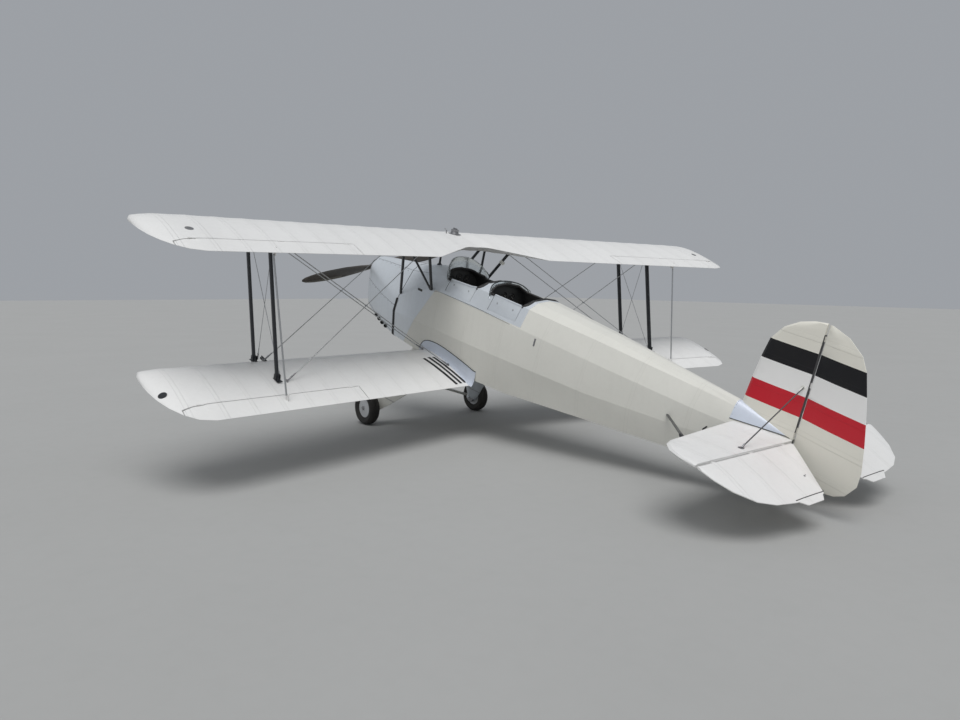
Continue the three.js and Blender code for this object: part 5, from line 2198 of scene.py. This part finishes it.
@dataclass
class WheelSet:
    """A tyre with its tread and two dished covers, on one axle."""

    node: str
    centre: Vector
    axle: Vector
    radius: float
    half: float
    disc: float
    cap: float
    nuts: int = 5

    def build(self) -> None:
        """Spins the tyre and its covers."""
        r, h, d, c = self.radius, self.half, self.disc, self.cap
        tread = [(0.985, 0.5), (0.99, 0.4), (0.965, 0.38), (0.965, 0.33), (0.994, 0.31), (0.998, 0.12),
                 (0.972, 0.1), (0.972, 0.04), (0.999, 0.02)]
        flank = [(d / r * 0.99, 0.6), (d / r * 1.06, 0.74), (0.76, 0.93), (0.84, 0.985), (0.9, 0.93),
                 (0.95, 0.78), (0.975, 0.62)]
        outer = [(a * r, b * h) for a, b in flank + tread]
        other = [(a, -b) for a, b in reversed(outer)]
        bead = [(d * 0.93, -0.5 * h), (d * 0.93, 0.5 * h)]
        tyre = Bench.spun(self.node + "_tyre", outer + other + bead, self.centre, self.axle, 64)
        Bench.done(tyre, Paints.RUBBER, self.node, 25, (self.node,), "rubber")
        dish = [(0.0, 0.3 * h), (d * 0.97, 0.3 * h), (d * 0.995, 0.6 * h), (d * 0.97, 0.64 * h),
                (d * 0.9, 0.62 * h), (d * 0.6, 0.74 * h), (d * 0.36, 0.79 * h), (d * 0.34, 0.8 * h),
                (0.0, 0.8 * h)]
        cap = [(0.0, 0.78 * h), (c, 0.78 * h), (c, 0.86 * h), (c * 0.8, 0.93 * h), (0.0, 0.95 * h)]
        across = self.axle.cross(LEVEL).normalized()
        upright = across.cross(self.axle).normalized()
        covers, hubs = [], []
        for outward in (self.axle, -self.axle):
            covers.append(Bench.spun("cover", dish, self.centre, outward, 48))
            hubs.append(Bench.spun("cap", cap, self.centre, outward, 24))
            for k in range(self.nuts):
                angle = 2 * pi * k / self.nuts
                foot = self.centre + (across * cos(angle) + upright * sin(angle)) * c * 1.45
                start = foot + outward * 0.77 * h
                hubs.append(Bench.rod("nut", start, start + outward * 0.07 * h, c * 0.14, 6))
        Bench.gather(self.node + "_covers", covers, Paints.WHEEL_SILVER, self.node, 35)
        Bench.gather(self.node + "_hub_caps", hubs, Paints.STEEL, self.node, 35)


class Undercarriage:
    """Main wheels, faired legs, axles, tail fork and tail wheel."""

    tail_wheel_swing = 13.5
    wing_joint = (0.318, -0.7)
    wheel_joint = (0.735, -1.443)

    def build(self) -> None:
        """Dresses the landing gear."""
        for side in Side:
            node = f"wheel_{side.label}"
            low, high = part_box(node)
            WheelSet(node, (low + high) / 2, SPANWISE, 0.1957, 0.066, 0.112, 0.026).build()
            self.leg(side)
            self.brake(side)
        axle = Bench.soften(Bench.copied("axle_pyramid", "axle_tubes"), 0.003, 50, 1)
        Bench.done(axle, Paints.CREAM, angle=50, stands_for=("axle_pyramid",), slot="fabric")
        Bench.softened("tail_fork", "tail_fork_frame", 0.002, 35, Paints.BLACK, "tail_fork", slot="black")
        low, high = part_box("tail_wheel")
        swung = radians(self.tail_wheel_swing)
        axle = Vector((sin(swung), cos(swung), 0))
        WheelSet("tail_wheel", (low + high) / 2, axle, 0.0945, 0.0305, 0.056, 0.012).build()
        self.steering_arms()

    def leg(self, side: Side) -> None:
        """The faired leg with a metal cuff at its foot and a dark seam below the wing.

        Args:
            side: The aircraft's side.
        """
        node = f"gear_leg_{side.label}"
        # Painted shade: the starboard fairing, cream like the port one, is given silver-grey for the shade it
        # stands in under the wing.
        finish = Paints.CREAM if side is Side.PORT else Paints.SILVER
        Bench.softened(node, f"leg_fairing_{side.label}", 0.004, 30, finish, angle=45, slot="fabric")
        skin = Skin(node)
        (top_y, top_z), (foot_y, foot_z) = self.wing_joint, self.wheel_joint
        rings = (
            ("leg_cuff", -1.67, -1.285, 0.0035, Paints.STEEL),
            ("leg_seam", -1.9, -0.83, 0.0018, Paints.INSIDE),
        )
        for name, x, z, radius, paint in rings:
            share = (z - top_z) / (foot_z - top_z)
            middle = side.at(x, top_y + (foot_y - top_y) * share, z)
            ring = []
            for k in range(28):
                turn = 2 * pi * k / 28
                out = FORWARD * cos(turn) * 0.8 + SPANWISE * sin(turn) * 0.08
                place, normal = skin.hit(middle + out, -out.normalized())
                ring.append(place + normal * 0.0005)
            Bench.done(Bench.tube(f"{name}_{side.label}", ring, radius, True, 1), paint)

    @staticmethod
    def brake(side: Side) -> None:
        """Brake drum and its hose inboard of the wheel.

        Args:
            side: The aircraft's side.
        """
        centre = side.at(-1.567, 0.74, -1.443)
        axis = side.out
        drum = [(0.023, -0.012), (0.07, -0.012), (0.076, -0.004), (0.076, 0.012), (0.023, 0.012)]
        Bench.done(Bench.spun(f"brake_drum_{side.label}", drum, centre, axis, 36), Paints.STEEL)
        start = centre + UPWARD * 0.05 - axis * 0.02
        points = [start, start + UPWARD * 0.04 - axis * 0.02, side.at(-1.6, 0.66, -1.3),
                  side.at(-1.61, 0.55, -1.12)]
        Bench.done(Bench.tube(f"brake_pipe_{side.label}", points, 0.0035, sides=2), Paints.BLACK)

    @staticmethod
    def steering_arms() -> None:
        """The two short steering arms of the tail fork."""
        low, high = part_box("tail_fork")
        top = Vector(((low.x + high.x) / 2, 0, high.z - 0.035))
        parts = []
        for side in reversed(Side):
            end = top + side.out * 0.03 + Vector((-0.012, 0, -0.02))
            parts.append(Bench.rod("arm", top + Vector((0.01, 0, -0.02)), end, 0.005, 8))
        Bench.gather("tail_fork_arms", parts, Paints.STEEL, "tail_fork")


@dataclass
class TailFittings:
    """The metal fairing at the fin's foot, the tab lines and the small tail fittings."""

    front: float = -5.64
    back: float = -6.125
    tab: tuple[float, float] = (0.31, 0.675)
    tab_reach: float = 0.4475
    elevator_hinge: tuple[float, float] = (-6.16, 0.025)
    gap: float = -6.3

    def build(self) -> None:
        """Builds both sides' fittings."""
        for side in Side:
            self.fairing(side)
            self.tab_line(side)
            self.wire_plates(side)
            self.elevator_seal(side)
            self.hook(side)
        self.rudder_seal()
        self.side_slots()

    def fairing(self, side: Side) -> None:
        """The pale sheet between the fin, the deck and the tailplane.

        Args:
            side: The aircraft's side.
        """
        rows = []
        for k in range(11):
            x = self.front + (self.back - self.front) * k / 10
            tailplane = 0.052 + (x + 6.16) * tan(radians(-3))
            level = tailplane - 0.002
            section = hull.half(hull.section(x))
            shoulder, flank = section[2][1], section[3][1]
            low = max(0.0, min(1.0, (shoulder - level) / max(0.001, shoulder - flank)))
            shares = (0.12, 0.5, 1.0, 1.5, 2.0, 2.0 + low * 0.5, 2.0 + low)
            rows.append([hull.point(x, share, side, 0.0025) for share in shares])
        piece = Bench.strip(f"tail_fairing_{side.label}", rows, 0.0012)
        Bench.done(piece, Paints.PALE_BLUE, angle=60)
        heads = [hull.head(self.front - 0.008, 0.3 + 0.36 * k, side, 0.0035, 0.1) for k in range(7)]
        rivets(f"fairing_screws_{side.label}", heads, 0.003, Paints.STEEL)
        seam(f"tailplane_root_line_{side.label}", [row[-1] + UPWARD * 0.002 for row in rows], 0.003)

    def tab_line(self, side: Side) -> None:
        """The hinge line of the trim tab on the elevator and the stud of its rod.

        Args:
            side: The aircraft's side.
        """
        skin = Skin(f"elevator_{side.label}_cloth")
        hinge_x, hinge_z = self.elevator_hinge
        rest_x, rest_z = hinge_x - 0.9455 * self.tab_reach, hinge_z - 0.3256 * self.tab_reach
        for name, direction, start in (("top", -UPWARD, 0.2), ("under", UPWARD, -0.2)):
            places = []
            for k in range(9):
                y = self.tab[0] + (self.tab[1] - self.tab[0]) * k / 8
                place, normal = skin.hit(side.at(rest_x, y, rest_z + start), direction)
                places.append(place + normal * 0.0002)
            line = Bench.tube(f"tab_gap_{name}_{side.label}", places, 0.0032, sides=1)
            Bench.done(line, Paints.INSIDE, "elevators")
        place, normal = skin.under(side.at(-6.442, 0.336, 0.2))
        stud = [(0.0, -0.002), (0.008, -0.002), (0.008, 0.003), (0.003, 0.005), (0.003, 0.014),
                (0.0, 0.014)]
        Bench.done(Bench.spun(f"tab_stud_{side.label}", stud, place, normal, 12), Paints.STEEL, "elevators")

    def rear_edge(self, node: str, behind: Vector) -> float:
        """Where a fixed surface ends, looked at from a place in the gap behind it."""
        return self.gap + (Skin(node).hit(behind, FORWARD)[0] - behind).length

    def elevator_seal(self, side: Side) -> None:
        """A white cloth strip on the tailplane's rear edge that half fills the gap at the elevator.

        Args:
            side: The aircraft's side.
        """
        rear = self.rear_edge(f"stabilizer_{side.label}", side.at(self.gap, 0.5, 0.025)) - 0.0025
        rows = []
        for k in range(33):
            y = 0.16 + 0.94 * k / 32
            rows.append([side.at(rear, y, 0.0255 + lift) for lift in (-0.01, 0.0, 0.011)])
        Bench.done(Bench.strip(f"elevator_gap_seal_{side.label}", rows, 0.003), Paints.WHITE)

    def rudder_seal(self) -> None:
        """A dark strip on the fin's rear edge that half fills the gap at the rudder, as painted shade for the
        gap's shadow.
        """
        rear = self.rear_edge("fin", stance.at(self.gap, 0.0, 0.33)) - 0.003
        rows = []
        for k in range(41):
            rows.append([stance.at(rear, out, 0.1 + 0.77 * k / 40) for out in (-0.016, 0.0, 0.016)])
        # Painted shade: the dark cable finish stands for the shadow in the gap.
        Bench.done(Bench.strip("rudder_gap_seal", rows, 0.004), Paints.CABLE)

    @staticmethod
    def wire_plates(side: Side) -> None:
        """Plates and forks at the ends of the tail wire and strut.

        Args:
            side: The aircraft's side.
        """
        plane = Skin(f"stabilizer_{side.label}")
        top = Skin("fin").hit(side.at(-6.1, 0.3, 0.45), -side.out)
        low = plane.under(side.at(-6.085, 0.63, 0.3))
        under = plane.hit(side.at(-5.735, 0.84, -0.3), UPWARD)
        along = (low[0] - top[0]).normalized()
        top_rod = (top[0] + along * 0.004, top[0] + along * 0.05)
        low_rod = (low[0] - along * 0.004, low[0] - along * 0.045)
        lug = under[0] - UPWARD * 0.03
        lug_rod = (lug - FORWARD * 0.012, lug + FORWARD * 0.012)
        disc = [(0.0, -0.001), (0.016, -0.001), (0.016, 0.002), (0.0, 0.003)]
        fittings = (
            ("tail_wire_top", top, 1.0, top_rod, 0.0065, Paints.MARK),
            ("tail_wire_foot", low, 1.4, low_rod, 0.007, Paints.STEEL),
            ("tail_strut_lug", under, 1.8, lug_rod, 0.009, Paints.BLACK),
        )
        for name, seat, growth, ends, radius, finish in fittings:
            plate = Bench.spun("plate", [(r * growth, a) for r, a in disc], *seat, 20)
            fork = Bench.rod("fork", *ends, radius, 10)
            Bench.gather(f"{name}_{side.label}", [plate, fork], finish)

    @staticmethod
    def hook(side: Side) -> None:
        """The small lifting handle below the tailplane's root.

        Args:
            side: The aircraft's side.
        """
        bends = ((-5.462, 0.12, -0.148), (-5.466, 0.14, -0.143), (-5.49, 0.14, -0.112),
                 (-5.494, 0.12, -0.107))
        handle = Bench.tube(f"tail_handle_{side.label}", [side.at(*bend) for bend in bends], 0.006, sides=3)
        Bench.done(handle, Paints.BLACK)

    @staticmethod
    def side_slots() -> None:
        """A narrow lacing slot on each fuselage side and the drain rings under the belly."""
        for side in Side:
            shares = (3.06, 3.12, 3.2, 3.28)
            rows = [[hull.point(x, share, side, 0.001) for share in shares] for x in (-3.57, -3.58, -3.59)]
            Bench.done(Bench.strip(f"side_slot_{side.label}", rows, 0.0012), Paints.STEEL)
        ring = [(0.006, 0.0), (0.014, 0.0), (0.014, 0.002), (0.011, 0.003), (0.006, 0.002)]
        eyelet = Bench.spun("eyelet", ring, Vector((0, 0, 0)), LEVEL, 12)
        places = []
        for k in range(7):
            place = hull.point(-2.1 - 0.55 * k, 6.0, Side.PORT)
            places.append((Vector((place.x, 0.03, place.z)), -UPWARD))
        Bench.done(Bench.scattered("drain_eyelets", eyelet, places), Paints.STEEL)


# Studio


@dataclass
class Studio:
    """Plain pale floor, soft light and the camera of the photograph."""

    place: Row = (-8.5858, 5.4236, 1.8522)
    yaw: float = 41.537
    pitch: float = -16.624
    roll: float = 9.972
    lens: float = 28.362
    floor_half: float = 60.0

    def build(self) -> None:
        """Sets the floor, the lights and the camera."""
        self.floor()
        self.lights()
        self.camera()
        bpy.context.scene.view_settings.view_transform = "Standard"

    def floor(self) -> None:
        """A pale floor under the wheels."""
        floor = Bench.settle(Bench.fresh("floor", bpy.ops.mesh.primitive_plane_add, size=2 * self.floor_half))
        paint = Finish("studio floor", (0.4, 0.4, 0.39), 0.9, dirt=(0.34, 0.34, 0.33), dirt_amount=0.3,
                       dirt_scale=0.6)
        floor.data.materials.append(paint.build())

    def lights(self) -> None:
        """An even pale sky with a broad soft light above."""
        world = bpy.data.worlds.new("studio sky")
        bpy.context.scene.world = world
        world.use_nodes = True
        shade = world.node_tree.nodes["Background"]
        shade.inputs["Color"].default_value = (0.8, 0.84, 0.9, 1.0)
        shade.inputs["Strength"].default_value = 0.42
        for name, strength, spread, turn in (
            ("overhead light", 1.75, 40.0, (-14.0, -20.0, 0.0)),
            ("side light", 0.5, 70.0, (-40.0, -45.0, 0.0)),
        ):
            lamp = bpy.data.lights.new(name, "SUN")
            lamp.energy = strength
            lamp.angle = radians(spread)
            in_scene(name, lamp).rotation_euler = [radians(t) for t in turn]

    def camera(self) -> None:
        """Stands the camera where the photograph was taken."""
        yaw, pitch, roll = (radians(a) for a in (self.yaw, self.pitch, self.roll))
        ahead = Vector((cos(pitch) * cos(yaw), -cos(pitch) * sin(yaw), sin(pitch)))
        right = Vector((-sin(yaw), -cos(yaw), 0))
        up = right.cross(ahead)
        leant_right = right * cos(roll) + up * sin(roll)
        leant_up = up * cos(roll) - right * sin(roll)
        axes = [stance.along(*v) for v in (leant_right, leant_up, -ahead)]
        turn = Matrix([[axis[k] for axis in axes] for k in range(3)]).to_4x4()
        lens = bpy.data.cameras.new("camera")
        lens.lens = self.lens
        lens.sensor_width = 36.0
        lens.clip_end = 500.0
        camera = in_scene("camera", lens)
        camera.matrix_world = Matrix.Translation(stance.at(*self.place)) @ turn
        bpy.context.scene.camera = camera


def dress_plain_nodes() -> None:
    """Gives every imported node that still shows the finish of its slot."""
    by_slot = {
        "fabric": Paints.CREAM, "white": Paints.WHITE, "silver": Paints.SILVER, "black": Paints.BLACK,
        "rubber": Paints.RUBBER, "wood": Paints.WOOD, "steel": Paints.WIRE, "glass": Paints.GLASS,
        "leather": Paints.BROWN_LEATHER,
    }
    for part in frame["record"]["subparts"]:
        node = frame["nodes"][part["node"]]
        if not node.hide_render:
            finish = by_slot[part["material_slot"]]
            for slot in node.material_slots:
                slot.material = finish.build()


def main() -> None:
    """Builds the aircraft's looks, class by class."""
    random.seed(7)
    SharedEffects().build()
    sections = (
        Covering(),
        Nose(),
        Fuselage(),
        Cockpit("front", -1.875, -2.06, -2.56, 0.272, -2.54, (-2.065, -2.515), Paints.SILVER, 0.0025,
                ((0.0, 0.455), (0.09, 0.45), (0.17, 0.424), (0.23, 0.378), (0.27, 0.316), (0.292, 0.25))),
        Cockpit("rear", -2.69, -2.765, -3.29, 0.262, -3.245, (-2.82, -3.245), Paints.BLACK, 0.006,
                ((0.0, 0.372), (0.09, 0.367), (0.17, 0.354), (0.23, 0.332), (0.272, 0.298), (0.292, 0.25))),
        Doors(),
        Propeller(),
        Bracing(),
        WingFittings(),
        Undercarriage(),
        TailFittings(),
    )
    for section in sections:
        section.build()
    dress_plain_nodes()
    Studio().build()


if __name__ == "__main__":
    logging.basicConfig(level=logging.INFO, format="%(name)s %(message)s")
    main()
